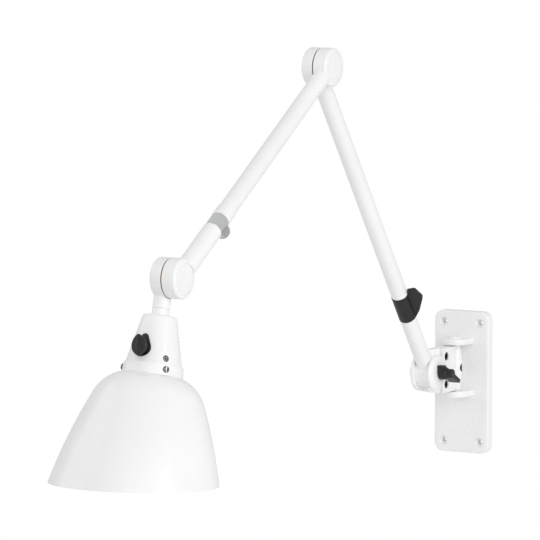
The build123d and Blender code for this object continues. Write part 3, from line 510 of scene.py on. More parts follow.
for label, spot in zip(("upper", "lower"), screwSpots):
    screw = hexScrew("cover_screw_" + label, seatStart, swivel["webFace"] - swivel["screwSunk"],
                     swivel["socketDeep"])
    finish(screw, spot, "swivel", "black_steel", "cover_screws")
setScrew = hexScrew("swivel_set_screw_head", swivel["setScrewStart"], swivel["setScrewEnd"],
                    swivel["setSocketDeep"])
finish(setScrew, setScrewSpot, "swivel", "black_steel", "swivel_set_screw")
flangeLow = swivel["barrelTall"] / 2 + swivel["gap"]
flangeHigh = plate["lugGap"] / 2 - swivel["gap"]
for label, side in (("upper", 1), ("lower", -1)):
    bush = sleeve("pivot_bush_" + label, swivel["bushFlange"], swivel["bushBore"],
                  flangeLow, flangeHigh, swivel["bushEdge"])
    skirt = sleeve("skirt", swivel["bush"], swivel["bushBore"],
                   flangeLow - swivel["bushLong"], flangeLow + swivel["bushEdge"], swivel["bushEdge"] / 2)
    combine(bush, skirt)
    bake(bush, Matrix.Diagonal((1, side, side, 1)))
    finish(bush, barrelMiddle, "swivel", "white_nylon", "pivot_bushes")
print("swivel done")


# wall hinge: bolt with its cap head, dome and winged clamp knob
hinge = {
    "boltHead": 9.8, "headTall": 6.6, "headRound": 2.0, "headFlat": 3.0, "bolt": 4.0, "gap": 0.1,
    "drumRight": 9.4, "dome": 19.7, "domeRim": 1.2, "domeEdge": 0.2, "domeTall": 5.5, "domeTop": 9.0,
    "domeBore": 4.1,
    "hub": 7.0, "hubLong": 7.6, "hubEdge": 0.5, "coneLong": 2.2, "coneEdge": 0.4, "coneFoot": 0.3,
    "nose": 5.2, "noseLong": 6.0, "noseRound": 1.0,
    "wingReach": 20.2, "wingThick": 4.2, "wingStart": 2.6, "wingWide": 13.2, "wingTurn": -30.0,
    "wingFoot": 1.0, "wingTip": 15.0, "wingCorner": 0.6, "wingEdge": 0.5, "heel": 7.4, "heelTall": 9.0,
}


def wingPlate(points, sizes, cornerSteps, edgeSteps):
    # a knob's wing: drawn flat, its tip's corners and all its edges rounded, then stood upright
    wing = outline("wing", points, sizes["wingThick"])
    bake(wing, place(0, 0, -sizes["wingThick"] / 2))
    roundEdges(wing, lambda a, b: min(a.x, b.x) > sizes["wingTip"] and abs(a.z - b.z) > past,
               sizes["wingCorner"], cornerSteps)
    soften(wing, sizes["wingEdge"], edgeSteps, angle=50)
    bake(wing, spin(90, "X"))
    return wing


domeLeft = hinge["drumRight"] + hinge["gap"]
domeRight = domeLeft + hinge["domeTall"]
knobLeft = domeRight + hinge["gap"]
hubRight = knobLeft + hinge["hubLong"]
coneRight = hubRight + hinge["coneLong"]
noseRight = coneRight + hinge["noseLong"]
capLeft = swivel["left"] - hinge["headTall"]
capEdge = arc((hinge["boltHead"] - hinge["headRound"], capLeft + hinge["headRound"]),
              hinge["headRound"], -90, 0, 6)
boltHead = turned("hinge_bolt_head", [(hinge["headFlat"], capLeft)] + capEdge + [
    (hinge["boltHead"], swivel["left"]), (hinge["bolt"], swivel["left"]), (hinge["bolt"], hubRight),
], sides=64)
finish(boltHead, hingeLevel @ alongX, "swivel", "black_steel", "hinge_bolt")
rise = hinge["domeTall"] - hinge["domeRim"]
shallow = hinge["dome"] - hinge["domeTop"]
domeStep = 9    # degrees between the dome's rings
domeArc = [
    (hinge["domeTop"] + shallow * math.cos(math.radians(a)),
     domeLeft + hinge["domeRim"] + rise * math.sin(math.radians(a)))
    for a in range(domeStep, 90 + domeStep, domeStep)
]
dome = turned("hinge_dome_cap", [
    (hinge["domeBore"], domeLeft), (hinge["dome"] - hinge["domeEdge"], domeLeft),
    (hinge["dome"], domeLeft + hinge["domeEdge"]), (hinge["dome"], domeLeft + hinge["domeRim"]),
] + domeArc + [(hinge["domeBore"], domeRight), (hinge["domeBore"], domeLeft)], closed=True, sides=96)
finish(dome, hingeLevel @ alongX, "swivel", "white_cast", "hinge_dome")
noseTip = arc((hinge["nose"] - hinge["noseRound"], noseRight - hinge["noseRound"]),
              hinge["noseRound"], 0, 90, 5)
knob = turned("clamp_knob", [
    (hinge["hub"] - hinge["hubEdge"], knobLeft), (hinge["hub"], knobLeft + hinge["hubEdge"]),
    (hinge["hub"], hubRight - hinge["coneEdge"]), (hinge["hub"] - hinge["coneEdge"], hubRight),
    (hinge["nose"] + hinge["coneFoot"], coneRight), (hinge["nose"], coneRight + hinge["hubEdge"]),
] + noseTip, sides=64)
wingLow, wingHigh = knobLeft + hinge["wingStart"], noseRight - hinge["coneEdge"]
combine(knob, wingPlate([
    (hinge["wingFoot"], wingLow), (hinge["wingReach"], wingLow),
    (hinge["wingReach"], wingLow + hinge["wingWide"]),
    (hinge["nose"] - hinge["coneFoot"], wingHigh), (hinge["wingFoot"], wingHigh),
], hinge, cornerSteps=4, edgeSteps=3))
bake(knob, alongX @ spin(90, "Z"))
bake(knob, spin(hinge["wingTurn"], "X"))
heel = slab("heel", (knobLeft, -hinge["heel"], 0), (hubRight, 0, hinge["heelTall"]))
soften(heel, hinge["wingCorner"], angle=50)
combine(knob, heel)
finish(knob, hingeLevel, "hinge_knob", "black_plastic", "hinge_wing_knob")
print("wall hinge done")


# lower arm: tube and the clamp sleeve with its wing
lower = {
    "tube": 9.0, "wall": 1.5, "stub": 24.0, "gap": 0.1,
    "clampStart": 80.5, "clampLong": 32.8, "clamp": 9.5, "clampEdge": 0.6, "neck": 7.8,
    "wingTurn": 20.0, "wingThick": 4.6, "wingSink": 0.6, "wingFoot": 0.3, "wingHead": 0.5,
    "heelOut": 16.08, "heelUp": 9.184, "wingReach": 24.0, "tipUp": 25.256, "topOut": 18.24, "wingOver": 5.0,
    "wingTip": 12.0, "wingCorner": 1.6, "wingEdge": 0.8,
}
clampEnd = lower["clampStart"] + lower["clampLong"]
clampLow, clampHigh = lower["clampStart"] + lower["gap"], clampEnd - lower["gap"]
tubeEnd, tubeIn = length["lower"] - lower["stub"], lower["tube"] - lower["wall"]
lowerTube = sleeve("lower_arm_tube", lower["tube"], tubeIn, clampEnd, tubeEnd)
finish(lowerTube, lowerArm, "lower_arm", "white_tube", "lower_tube")
clampSleeve = sleeve("clamp_sleeve_body", lower["clamp"], lower["neck"] + lower["gap"],
                     clampLow, clampHigh, lower["clampEdge"])
wingIn, wingOut = lower["neck"] + lower["wingSink"], lower["clamp"] + lower["gap"]
wingFoot, wingHead = clampLow + lower["wingFoot"], clampEnd - lower["wingHead"]
wingTop = clampEnd + lower["wingOver"]
clampWing = wingPlate([
    (wingIn, wingFoot), (lower["clamp"], wingFoot), (lower["heelOut"], lower["clampStart"] + lower["heelUp"]),
    (lower["wingReach"], lower["clampStart"] + lower["tipUp"]), (lower["topOut"], wingTop),
    (wingOut, wingTop), (wingOut, wingHead), (wingIn, wingHead),
], lower, cornerSteps=5, edgeSteps=4)
bake(clampWing, spin(lower["wingTurn"], "Z"))
combine(clampSleeve, clampWing)
finish(clampSleeve, lowerArm, "twist_clamp", "black_plastic", "clamp_sleeve")
print("lower arm done")


# elbow and head joints: two drum halves each, with an inset cap
joint = {
    "drum": 20.2, "round": 3.0, "edge": 0.3, "innerThick": 13.0, "outerThick": 15.0, "seam": 6.1, "gap": 1.4,
    "cap": 15.8, "capThick": 2.0, "capSink": 0.5, "capGap": 0.05, "capEdge": 0.25,
    "groove": 13.2, "grooveEdge": 0.1, "grooveDeep": 0.4, "grooveWide": 0.6,
    "pocket": 9.5, "web": 4.6, "bore": 4.05, "bushBore": 5.65, "wire": 3.5,
    "root": 12.0, "rootGap": 0.6, "rootClear": 30.0, "stub": 24.0, "spigotLong": 20.0, "spigotGap": 0.05,
    "headStub": 9.9, "headSpigot": 8.35, "neck": 8.6, "neckLong": 30.6,
}
innerSpot = place(joint["seam"], 0, 0) @ spin(180, "Z")
outerSpot = place(joint["seam"] + joint["gap"] - reach["armSide"], 0, 0)
lowerEnd = lowerArm @ place(0, 0, length["lower"], 180)
armEnd = place(reach["armSide"], headY, headZ, -lean["outer"])


def drumHalf(name, thick, armX, stub, stubLong, spigot, boltHole):
    # a drum with its arm's stub, a seat for the cap, a pocket for the bolt and the cable's bore
    drum = turned(name, [(joint["drum"] - joint["edge"], 0), (joint["drum"], joint["edge"])] + arc(
        (joint["drum"] - joint["round"], thick - joint["round"]), joint["round"], 0, 90, 8), sides=96)
    bake(drum, alongX)
    rings = [(stub, joint["root"]), (stub, stubLong - joint["edge"]), (stub - joint["edge"], stubLong)]
    if spigot:
        rings += [(spigot, stubLong), (spigot, stubLong + joint["spigotLong"])]
    arm = turned("arm", rings)
    across = place(armX, 0, 0)
    bake(arm, across)
    drill(arm, joint["drum"] + joint["rootGap"], -joint["rootClear"], 0, alongX, sides=96)
    combine(drum, arm)
    seat = thick - joint["capSink"] - joint["capThick"]
    for radius, low, high in (
        (joint["cap"] + joint["capGap"], seat, thick + stub),
        (joint["pocket"], joint["web"], seat + past),
        (boltHole, -past, joint["web"] + past),
    ):
        drill(drum, radius, low, high, alongX, sides=96)
    boreEnd = stubLong + joint["spigotLong"] + past
    drill(drum, joint["wire"], joint["pocket"] - past, boreEnd, across, sides=32)
    return drum


def jointCap(name, thick):
    # a disc with a shallow ring groove near its rim
    right = thick - joint["capSink"]
    grooveFloor, grooveIn = right - joint["grooveDeep"], joint["groove"] - joint["grooveWide"]
    cap = turned(name, [
        (joint["cap"], right - joint["capThick"]), (joint["cap"], right - joint["capEdge"]),
        (joint["cap"] - joint["capEdge"], right), (joint["groove"] + joint["grooveEdge"], right),
        (joint["groove"], grooveFloor), (grooveIn, grooveFloor), (grooveIn - joint["grooveEdge"], right),
    ], sides=96)
    bake(cap, alongX)
    return cap


spigot = tubeIn - joint["spigotGap"]
outerArmX = reach["armSide"] - joint["seam"] - joint["gap"]
for label, body, matrix, thick, armX, stub, stubLong, spigotRadius, hole in (
    ("elbow_inner", "lower_arm", lowerEnd @ innerSpot, joint["innerThick"], joint["seam"],
     lower["tube"], joint["stub"], spigot, joint["bushBore"]),
    ("elbow_outer", "outer_arm", outerArm @ outerSpot, joint["outerThick"], outerArmX,
     lower["tube"], joint["stub"], spigot, joint["bore"]),
    ("head_outer", "arm_end", armEnd @ outerSpot, joint["outerThick"], outerArmX,
     joint["headStub"], joint["stub"], joint["headSpigot"], joint["bore"]),
    ("head_inner", "neck", lampHead @ innerSpot, joint["innerThick"], joint["seam"],
     joint["neck"], joint["neckLong"], 0, joint["bushBore"]),
):
    drum = drumHalf(label + "_drum", thick, armX, stub, stubLong, spigotRadius, hole)
    finish(drum, matrix, body, "white_cast", label + "_half")
    finish(jointCap(label + "_disc", thick), matrix, body, "white_cast", label + "_cap")
print("joints done")


# outer arm: tube, coupling sleeve, chromed ring with its lug, head tube
outer = {
    "headTubeLong": 53.6, "ringLong": 17.6, "couplingLong": 14.1, "headTube": 9.9, "ring": 9.45,
    "spindle": 6.0, "gap": 0.1, "fit": 0.05, "ringEdge": 0.4, "couplingEdge": 0.5,
    "lug": 9.6, "lugReach": 15.8, "lugThick": 4.0, "lugRise": 0.3, "lugEdge": 0.4, "lugTurn": -45.0,
    "screwReach": 12.6, "screw": 1.5, "screwHead": 2.6, "screwTall": 1.3, "screwRim": 0.7, "screwCrown": 0.5,
    "slot": 0.8, "slotRise": 0.6, "notchLong": 7.5, "notchWide": 2.4,
}
ringEnd = length["outer"] - joint["stub"] - outer["headTubeLong"]
ringStart = ringEnd - outer["ringLong"]
couplingStart, couplingEnd = ringStart - outer["couplingLong"], ringStart - outer["gap"]
outerTube = sleeve("outer_arm_tube", lower["tube"], tubeIn, joint["stub"], couplingEnd)
finish(outerTube, outerArm, "outer_arm", "white_tube", "outer_tube")
coupling = sleeve("coupling_collar", outer["headTube"], lower["tube"] + outer["fit"],
                  couplingStart, couplingEnd, outer["couplingEdge"])
finish(coupling, outerArm, "outer_arm", "white_cast", "coupling_sleeve")
ring = sleeve("chromed_ring", outer["ring"], outer["spindle"] + outer["fit"],
              ringStart, ringEnd, outer["ringEdge"])
finish(ring, outerArm, "arm_end", "chrome", "twist_ring")
lugMiddle = ringStart + outer["lugRise"] + outer["lug"]
lugSpin = spin(outer["lugTurn"], "Z")
lugScrewSpot = place(outer["screwReach"], 0, lugMiddle)
front, clear = outer["lugThick"] / 2, 2 * outer["lug"]
lugPlate = turned("ring_lug", [
    (outer["lug"] - outer["lugEdge"], -front), (outer["lug"], outer["lugEdge"] - front),
    (outer["lug"], front - outer["lugEdge"]), (outer["lug"] - outer["lugEdge"], front),
], sides=64)
bake(lugPlate, place(outer["lugReach"] - outer["lug"], 0, lugMiddle) @ alongY)
drill(lugPlate, outer["ring"] + outer["fit"], ringStart - past, ringEnd + outer["fit"])
drill(lugPlate, outer["headTube"] + outer["fit"], ringEnd, ringEnd + clear)
cut(lugPlate, slab("cutter", (-clear, -clear, ringStart - past), (outer["ring"] / 2, clear, ringEnd + clear)))
drill(lugPlate, outer["screw"] + outer["fit"], -clear, clear, lugScrewSpot @ alongY, sides=24)
finish(lugPlate, outerArm @ lugSpin, "arm_end", "bright_steel", "twist_lug")
lugScrew = turned("lug_screw_head", [
    (outer["screw"], -front), (outer["screw"], front), (outer["screwHead"], front),
    (outer["screwHead"], front + outer["screwRim"]),
    (outer["screwHead"] - outer["screwCrown"], front + outer["screwTall"]),
], sides=40)
cut(lugScrew, slab("cutter", (-outer["lug"], -outer["slot"] / 2, front + outer["slotRise"]),
                   (outer["lug"], outer["slot"] / 2, front + 2 * outer["screwTall"])))
bake(lugScrew, spin(90, "X"))
finish(lugScrew, outerArm @ lugSpin @ lugScrewSpot, "arm_end", "bright_steel", "lug_screw")
headTube = sleeve("head_tube_body", outer["headTube"], outer["headTube"] - lower["wall"],
                  ringEnd + outer["gap"], length["outer"] - joint["stub"])
notch = slab("cutter", (outer["headTube"] / 2, -outer["notchWide"] / 2, ringEnd - past),
             (outer["lugReach"], outer["notchWide"] / 2, ringEnd + outer["notchLong"]))
cut(headTube, notch, lugSpin)
finish(headTube, outerArm, "arm_end", "white_cast", "head_tube")
print("outer arm done")


# lamp housing with its collar
housing = {
    "bore": 5.1, "neckStart": 30.7, "stem": 8.6, "stemEdge": 0.3, "stemFoot": 1.0,
    "top": 37.8, "topRadius": 16.8, "topRound": 3.45, "roundIn": 2.829,
    "long": 48.2, "endRadius": 27.7, "wall": 2.5, "creaseTall": 0.4, "crease": (-0.08, 0.1),
    # the collar's two rounds, as steps out from its radius and away from its end
    "collarTall": 11.5, "collarTop": 29.4, "collarEnd": 30.1, "collarWall": 2.3,
    "collarRound": ((-0.6, 0.0), (-0.15, 0.2), (0.03, 0.7)), "collarFoot": ((-0.03, 0.5), (-0.4, 0.0)),
    "screwTurns": (55.5, 175.5, 295.5), "screwClear": 10.0,
    "shadeScrewRise": 6.0, "shadeScrewIn": 3.0, "shadeScrew": 2.0, "shadeScrewFit": 0.05,
    "shadeScrewHead": 3.3, "shadeScrewGap": 0.1, "shadeScrewTall": 2.4, "shadeScrewRim": 0.6,
    "capRings": 12, "capStep": 7, "slot": 1.2, "slotDeep": 0.9,
    "holderScrewRise": 5.1, "holderHole": 3.25, "holderHoleIn": 20.0, "holderScrew": 2.4,
    "grubStart": 19.85, "grubFoot": 0.25, "grubEdge": 0.3, "grubSocket": 1.2, "grubSocketDeep": 1.5,
    "switchAt": 73.1, "switchOut": 24.99, "switchLean": 11.42, "switchWide": 12.0,
    "switchUp": 7.0, "switchDown": 3.8, "switchDeep": 14.0,
}
housingEnd = housing["top"] + housing["long"]
collarEnd = housingEnd + housing["collarTall"]
taper = (housing["endRadius"] - housing["topRadius"]) / housing["long"]
roofInside = housing["top"] + 2 * housing["wall"]
roofRadius = housing["topRadius"] + taper * (roofInside - housing["top"]) - housing["wall"]
wallInside = housing["endRadius"] - housing["wall"]
collarInside = housing["collarEnd"] - housing["collarWall"]
shoulderRound = arc((housing["topRadius"] - housing["roundIn"], housing["top"] + housing["topRound"]),
                    housing["topRound"], -90, -math.degrees(math.atan(taper)), 9)
lampHousing = turned("lamp_housing_body", [
    (housing["bore"], housing["neckStart"]), (housing["stem"] - housing["stemEdge"], housing["neckStart"]),
    (housing["stem"], housing["neckStart"] + housing["stemEdge"]),
    (housing["stem"], housing["top"] - housing["stemFoot"]),
    (housing["stem"] + housing["stemEdge"], housing["top"] - housing["stemEdge"]),
    (housing["stem"] + housing["stemFoot"], housing["top"]),
] + shoulderRound + [
    (housing["endRadius"] + housing["crease"][0], housingEnd - housing["creaseTall"]),
    (housing["endRadius"] + housing["crease"][1], housingEnd),
] + [
    (housing["collarTop"] + out, housingEnd + down) for out, down in housing["collarRound"]
] + [
    (housing["collarEnd"] + out, collarEnd - up) for out, up in housing["collarFoot"]
] + [
    (collarInside, collarEnd), (collarInside, housingEnd + housing["collarWall"]),
    (wallInside, housingEnd), (roofRadius, roofInside),
    (housing["bore"], roofInside), (housing["bore"], housing["neckStart"]),
], closed=True, sides=120)
onTaper = place(0, housing["switchOut"], housing["switchAt"], -housing["switchLean"])
switchHole = slab("cutter", (-housing["switchWide"] / 2, -housing["switchDeep"], -housing["switchUp"]),
                  (housing["switchWide"] / 2, housing["switchDeep"], housing["switchDown"]))
cut(lampHousing, switchHole, onTaper)
spokes = [spin(-turn, "Z") for turn in housing["screwTurns"]]
shadeScrewSpot = place(0, 0, collarEnd - housing["shadeScrewRise"]) @ alongY
holderScrewHeight = housingEnd - housing["holderScrewRise"]
holderScrewSpot = place(0, 0, holderScrewHeight) @ alongY
collarThere = housing["collarEnd"] - housing["shadeScrewRise"] * (
    housing["collarEnd"] - housing["collarTop"]) / housing["collarTall"]
screwSeat = collarThere - housing["shadeScrewHead"] ** 2 / housing["collarEnd"]
holeOut = housing["collarEnd"] + housing["screwClear"]
for spoke in spokes:
    for radius, low, spot in (
        (housing["shadeScrewHead"] + housing["shadeScrewGap"], screwSeat, shadeScrewSpot),
        (housing["shadeScrew"] + housing["shadeScrewFit"], collarInside - housing["wall"], shadeScrewSpot),
        (housing["holderHole"], housing["holderHoleIn"], holderScrewSpot),
    ):
        drill(lampHousing, radius, low, holeOut, spoke @ spot, sides=36)
finish(lampHousing, lampHead, "lamp_head", "white_cast", "lamp_housing")
print("housing done")


# spun shade: its rim is cut at a slant, and its spigot stands in the housing's collar
shade = {
    "lean": 1.9, "ledge": 2.4, "wall": 1.2, "shoulder": 41.5, "centre": 16.5, "turn": 23.2, "flank": 523.0,
    "rimDepth": 107.5, "rimOffset": 8.0, "rimTurn": 13.3, "rimEdge": 0.35, "spigot": 8.6, "gap": 0.1,
}
shadeTop = collarEnd + shade["gap"]
shadeTopRadius = housing["collarEnd"] + shade["ledge"]
shoulderDepth = math.sqrt(shade["shoulder"] ** 2 - (shadeTopRadius - shade["centre"]) ** 2)
flankX = shade["centre"] - (shade["flank"] - shade["shoulder"]) * math.cos(math.radians(shade["turn"]))
flankZ = shoulderDepth + (shade["flank"] - shade["shoulder"]) * math.sin(math.radians(shade["turn"]))
footDepth = shade["rimDepth"] + shade["shoulder"]
hung = place(0, 0, shadeTop, -shade["lean"])
wide = 4 * shadeTopRadius    # clear of the whole shade


def bell(name, inset):
    # the filled bell: a shoulder round and one long flank round that runs on from it
    foot = math.degrees(math.asin((flankZ - footDepth) / (shade["flank"] - inset)))
    crown = arc((shade["centre"], shoulderDepth), shade["shoulder"] - inset, -90, -shade["turn"], 28)
    flank = arc((flankX, flankZ), shade["flank"] - inset, -shade["turn"], -foot, 26)
    piece = turned(name, crown + flank[1:], sides=160)
    bake(piece, hung)
    return piece


lampShade = bell("spun_shade", 0)
cut(lampShade, slab("cutter", (-wide, -wide, shadeTop - wide), (wide, wide, shadeTop)))
inside = bell("inside", shade["wall"])
cut(inside, slab("cutter", (-wide, -wide, shadeTop - wide), (wide, wide, shadeTop + shade["wall"])))
cut(lampShade, inside)
rimCut = slab("cutter", (-wide, -wide, 0), (wide, wide, wide))
cut(lampShade, rimCut, hung @ place(0, shade["rimOffset"], shade["rimDepth"], shade["rimTurn"]))
spigotOut = collarInside - shade["gap"]
spigotIn = spigotOut - shade["wall"]
spigotTop = shadeTop - shade["spigot"]
spigotRings = [(spigotOut, spigotTop), (spigotOut, shadeTop + shade["wall"] / 2)]
combine(lampShade, turned("spigot", spigotRings, sides=96))
drill(lampShade, spigotIn, spigotTop - past, shadeTop + 2 * shade["ledge"], sides=96)
soften(lampShade, shade["rimEdge"], steps=2, angle=50)
finish(lampShade, lampHead, "lamp_head", "white_shade", "lamp_shade", smooth=40)
print("shade done")

# dome-head screws round the collar, grub screws in the recesses above it
head, tall, rim = housing["shadeScrewHead"], housing["shadeScrewTall"], housing["shadeScrewRim"]
domeRings = [(head * math.cos(math.radians(a)), screwSeat + rim + (tall - rim) * math.sin(math.radians(a)))
             for a in range(0, housing["capRings"] * housing["capStep"], housing["capStep"])]
grubOut = housing["holderScrew"] - housing["grubEdge"]
for number, spoke in enumerate(spokes, 1):
    screw = turned("shade_screw_%d" % number, [
        (housing["shadeScrew"], spigotIn - housing["shadeScrewIn"]), (housing["shadeScrew"], screwSeat),
        (head, screwSeat),
    ] + domeRings, sides=40)
    cut(screw, slab("cutter", (-housing["slot"] / 2, -2 * head, screwSeat + tall - housing["slotDeep"]),
                    (housing["slot"] / 2, 2 * head, screwSeat + 2 * tall)))
    # the shade screws take the nickel whose darkened grey paints in a dark reflection
    finish(screw, lampHead @ spoke @ shadeScrewSpot, "lamp_head", "bright_steel", "shade_screws",
           look="nickelWithPaintedDarkReflection")
    grub = turned("holder_screw_%d" % number, [
        (grubOut, housing["grubStart"]), (housing["holderScrew"], housing["grubStart"] + housing["grubFoot"]),
        (housing["holderScrew"], wallInside - housing["grubEdge"]), (grubOut, wallInside),
    ], sides=36)
    drill(grub, housing["grubSocket"], wallInside - housing["grubSocketDeep"], wallInside + past, sides=6)
    finish(grub, lampHead @ spoke @ holderScrewSpot, "lamp_head", "black_steel", "holder_screws",
           look="phosphatedSteel")
print("screws done")


# lampholder: black shell with ribs and a threaded sleeve
holder = {
    "radius": 19.7, "wall": 2.0, "long": 50.0, "seat": 4.2, "core": 14.0, "wire": 3.5, "gap": 0.1,
    "shoulder": 0.8, "mouth": 0.6, "mouthIn": 0.3,
    "ribs": 4, "ribFrom": 5.0, "ribPitch": 2.4, "ribWide": 1.5, "ribDeep": 0.35, "ribEdge": 0.3,
    "thread": 14.2, "threadLong": 25.0, "pitch": 3.6, "threadDeep": 0.7, "waveSteps": 6, "waveEnd": 3,
    "sheet": 0.7, "flangeTall": 1.2, "waveStart": 0.2,
}
holderTop = holderScrewHeight - housing["holderScrew"] - holder["gap"] + holder["seat"]
holderEnd = holderTop + holder["long"]
roof = holderTop + holder["wall"]
shellIn = holder["radius"] - holder["wall"]
grooveIn = holder["radius"] - holder["ribDeep"]
ribs = []
for rib in range(holder["ribs"]):
    stop = holderEnd - holder["ribFrom"] - holder["ribPitch"] * rib
    start = stop - holder["ribWide"]
    ribs = [(holder["radius"], start), (grooveIn, start + holder["ribEdge"]),
            (grooveIn, stop - holder["ribEdge"]), (holder["radius"], stop)] + ribs
holderShell = turned("lampholder_body", [
    (holder["wire"], holderTop), (holder["radius"] - holder["shoulder"], holderTop),
    (holder["radius"], holderTop + holder["shoulder"]),
] + ribs + [
    (holder["radius"], holderEnd - holder["mouth"]), (holder["radius"] - holder["mouth"], holderEnd),
    (shellIn + holder["mouthIn"], holderEnd), (shellIn, holderEnd - holder["mouthIn"]),
    (shellIn, roof), (holder["wire"], roof), (holder["wire"], holderTop),
], closed=True, sides=80)
finish(holderShell, lampHead, "lamp_head", "black_plastic", "lampholder_shell")
threadStart = roof + holder["core"] + 2 * holder["gap"]
flangeEnd = threadStart + holder["flangeTall"]
flangeOut = shellIn - holder["mouthIn"]
steps = holder["waveSteps"]
wave = [
    (holder["thread"] - holder["threadDeep"] * (1 - math.cos(2 * math.pi * i / steps)) / 2,
     flangeEnd + holder["waveStart"] + holder["pitch"] * i / steps)
    for i in range(int(holder["threadLong"] / holder["pitch"]) * steps - holder["waveEnd"])
]
inner = [(r - holder["sheet"], z) for r, z in reversed(wave)]
threadSleeve = turned("lampholder_sleeve", [
    (flangeOut, threadStart), (flangeOut, flangeEnd), (holder["thread"], flangeEnd),
] + wave + inner + [
    (holder["thread"] - holder["sheet"], threadStart), (flangeOut, threadStart),
], closed=True, sides=64)
finish(threadSleeve, lampHead, "lamp_head", "brass", "lampholder_thread", smooth=60)
print("lampholder done")


# rotary switch: a lens-shaped grip with a low ridge, on a round boss
grip = {
    "long": 23.4, "wide": 15.3, "tall": 2.6, "edge": 0.6, "turn": 17.0,
    "ridge": 0.8, "ridgeLong": 18.0, "ridgeWide": 6.4, "ridgeSunk": 1.0,
    "pad": 1.0, "gap": 0.1, "boss": 7.0, "bossTall": 5.4, "bossFoot": 0.3, "bossJoin": 0.2,
    "shaft": 3.0, "shaftStart": 0.3,
}
bossBack = grip["pad"] + grip["gap"]
bossFront = bossBack + grip["bossTall"]


def lensPlate(name, long, wide, tall, edge):
    # a pointed oval between two equal rounds, its front edge rounded
    radius = (long ** 2 / 4 + wide ** 2 / 4) / wide
    half = math.degrees(math.asin(long / 2 / radius))
    right = arc((wide / 2 - radius, 0), radius, -half, half, 20)
    piece = outline(name, right + [(-x, -y) for x, y in right[1:-1]], tall)
    roundEdges(piece, lambda a, b: min(a.z, b.z) > tall - near, edge, steps=5)
    return piece


lens = lensPlate("switch_grip", grip["long"], grip["wide"], grip["tall"], grip["edge"])
ridge = lensPlate("ridge", grip["ridgeLong"], grip["ridgeWide"], grip["ridge"] + grip["ridgeSunk"],
                  grip["ridge"])
bake(ridge, place(0, 0, grip["tall"] - grip["ridgeSunk"]))
combine(lens, ridge)
bake(lens, place(0, 0, bossFront))
boss = turned("boss", [
    (grip["shaft"], grip["shaftStart"]), (grip["shaft"], bossBack),
    (grip["boss"] - grip["bossFoot"], bossBack), (grip["boss"], bossBack + grip["bossFoot"]),
    (grip["boss"], bossFront - grip["bossJoin"]),
    (grip["boss"] - grip["bossJoin"], bossFront + grip["bossJoin"]),
], sides=64)
combine(lens, boss)
bake(lens, alongY @ spin(grip["turn"], "Z"))
finish(lens, lampHead @ onTaper, "switch", "black_plastic", "switch_knob")
print("switch done")


# floor, lights and camera
studio = {
    "floorWide": 3.2, "floorPlace": (0, -0.35, -0.75),    # metres
    "floorColours": ("#F4F4F3", "#FAFAFA"), "floorRough": 0.8, "floorGrain": 3.0, "floorDetail": 4.0,
    "ambient": 0.62,      # the room's own soft light
    "backdrop": 1.0,      # what the camera sees behind the lamp
    "aim": (0, -0.35, 0.15),
    "lights": (
        # name, place in m, width and height in m, watts
        ("strip", (3.86, -1.39, 1.0), 0.9, 3.0, 47.0),
        ("front", (3.5, -4.3, 2.0), 5.0, 5.0, 70.0),
        ("fill", (-3.4, -1.6, 2.0), 3.0, 3.0, 31.0),
    ),
}
bpy.ops.mesh.primitive_plane_add(size=studio["floorWide"], location=studio["floorPlace"])
floor = bpy.context.object
floor.name = "studio_floor"
floorLook = bpy.data.materials.new("paleFloor")
floorLook.use_nodes = True
floorTree = floorLook.node_tree
floorTree.nodes.clear()
floorCoords = addNode(floorTree, "ShaderNodeTexCoord")
floorNoise = addNode(
    floorTree, "ShaderNodeTexNoise", {"Scale": studio["floorGrain"], "Detail": studio["floorDetail"]},
    {"Vector": floorCoords.outputs["Object"]},
)
floorTint = addNode(floorTree, "ShaderNodeValToRGB", None, {"Fac": floorNoise.outputs["Fac"]})
for element, code in zip(floorTint.color_ramp.elements, studio["floorColours"]):
    element.color = fromHex(code)
floorShader = addNode(floorTree, "ShaderNodeBsdfPrincipled", {"Roughness": studio["floorRough"]},
                      {"Base Color": floorTint.outputs["Color"]})
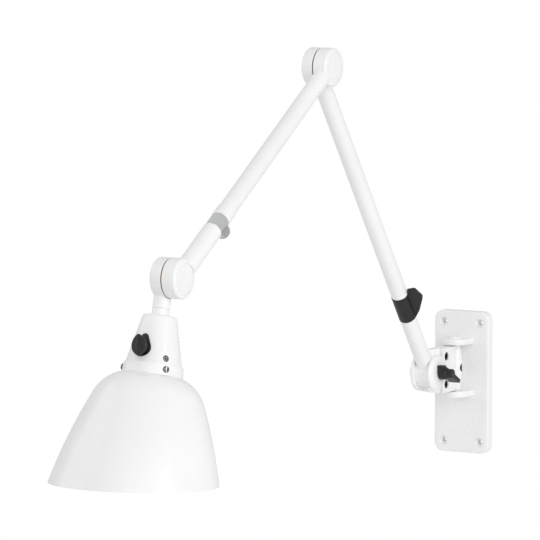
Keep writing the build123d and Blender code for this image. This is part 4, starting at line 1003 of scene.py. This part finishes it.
# from below the floor is left open, so the lamp's underside can be looked at
floorSide = addNode(floorTree, "ShaderNodeNewGeometry")
floorOpen = addNode(floorTree, "ShaderNodeBsdfTransparent")
floorMix = addNode(floorTree, "ShaderNodeMixShader", None, {
    "Fac": floorSide.outputs["Backfacing"], 1: floorShader.outputs["BSDF"], 2: floorOpen.outputs["BSDF"],
})
addNode(floorTree, "ShaderNodeOutputMaterial", None, {"Surface": floorMix.outputs["Shader"]})
floor.data.materials.append(floorLook)

world = bpy.data.worlds.new("studio")
bpy.context.scene.world = world
world.use_nodes = True
worldTree = world.node_tree
worldTree.nodes.clear()
rays = addNode(worldTree, "ShaderNodeLightPath")
seen = addNode(worldTree, "ShaderNodeMath", {"operation": "MAXIMUM"}, {
    0: rays.outputs["Is Camera Ray"], 1: rays.outputs["Is Transmission Ray"],
})
plain = [
    addNode(worldTree, "ShaderNodeBackground", {"Color": (1, 1, 1, 1), "Strength": studio[light]})
    for light in ("ambient", "backdrop")
]
sky = addNode(worldTree, "ShaderNodeMixShader", None, {
    "Fac": seen.outputs["Value"], 1: plain[0].outputs["Background"], 2: plain[1].outputs["Background"],
})
addNode(worldTree, "ShaderNodeOutputWorld", None, {"Surface": sky.outputs["Shader"]})
for name, spot, across, tall, watts in studio["lights"]:
    lamp = bpy.data.lights.new(name, "AREA")
    lamp.shape = "RECTANGLE"
    lamp.size = across
    lamp.size_y = tall
    lamp.energy = watts
    light = bpy.data.objects.new(name, lamp)
    bpy.context.scene.collection.objects.link(light)
    light.location = spot
    light.rotation_euler = (Vector(studio["aim"]) - Vector(spot)).to_track_quat("-Z", "Y").to_euler()

view = {
    "place": (2.10624, -4.18103, 0.61102), "tilt": 84.051, "turn": 29.397, "lens": 282.73,
    "sensor": 36.0, "nearest": 0.1, "farthest": 50.0,
}
cameraData = bpy.data.cameras.new("photo_camera")
cameraData.lens = view["lens"]
cameraData.sensor_width = view["sensor"]
cameraData.clip_start, cameraData.clip_end = view["nearest"], view["farthest"]
camera = bpy.data.objects.new("photo_camera", cameraData)
bpy.context.scene.collection.objects.link(camera)
camera.location = view["place"]
camera.rotation_euler = (math.radians(view["tilt"]), 0, math.radians(view["turn"]))
bpy.context.scene.camera = camera
bpy.context.scene.view_settings.view_transform = "Standard"

print("scene ready")
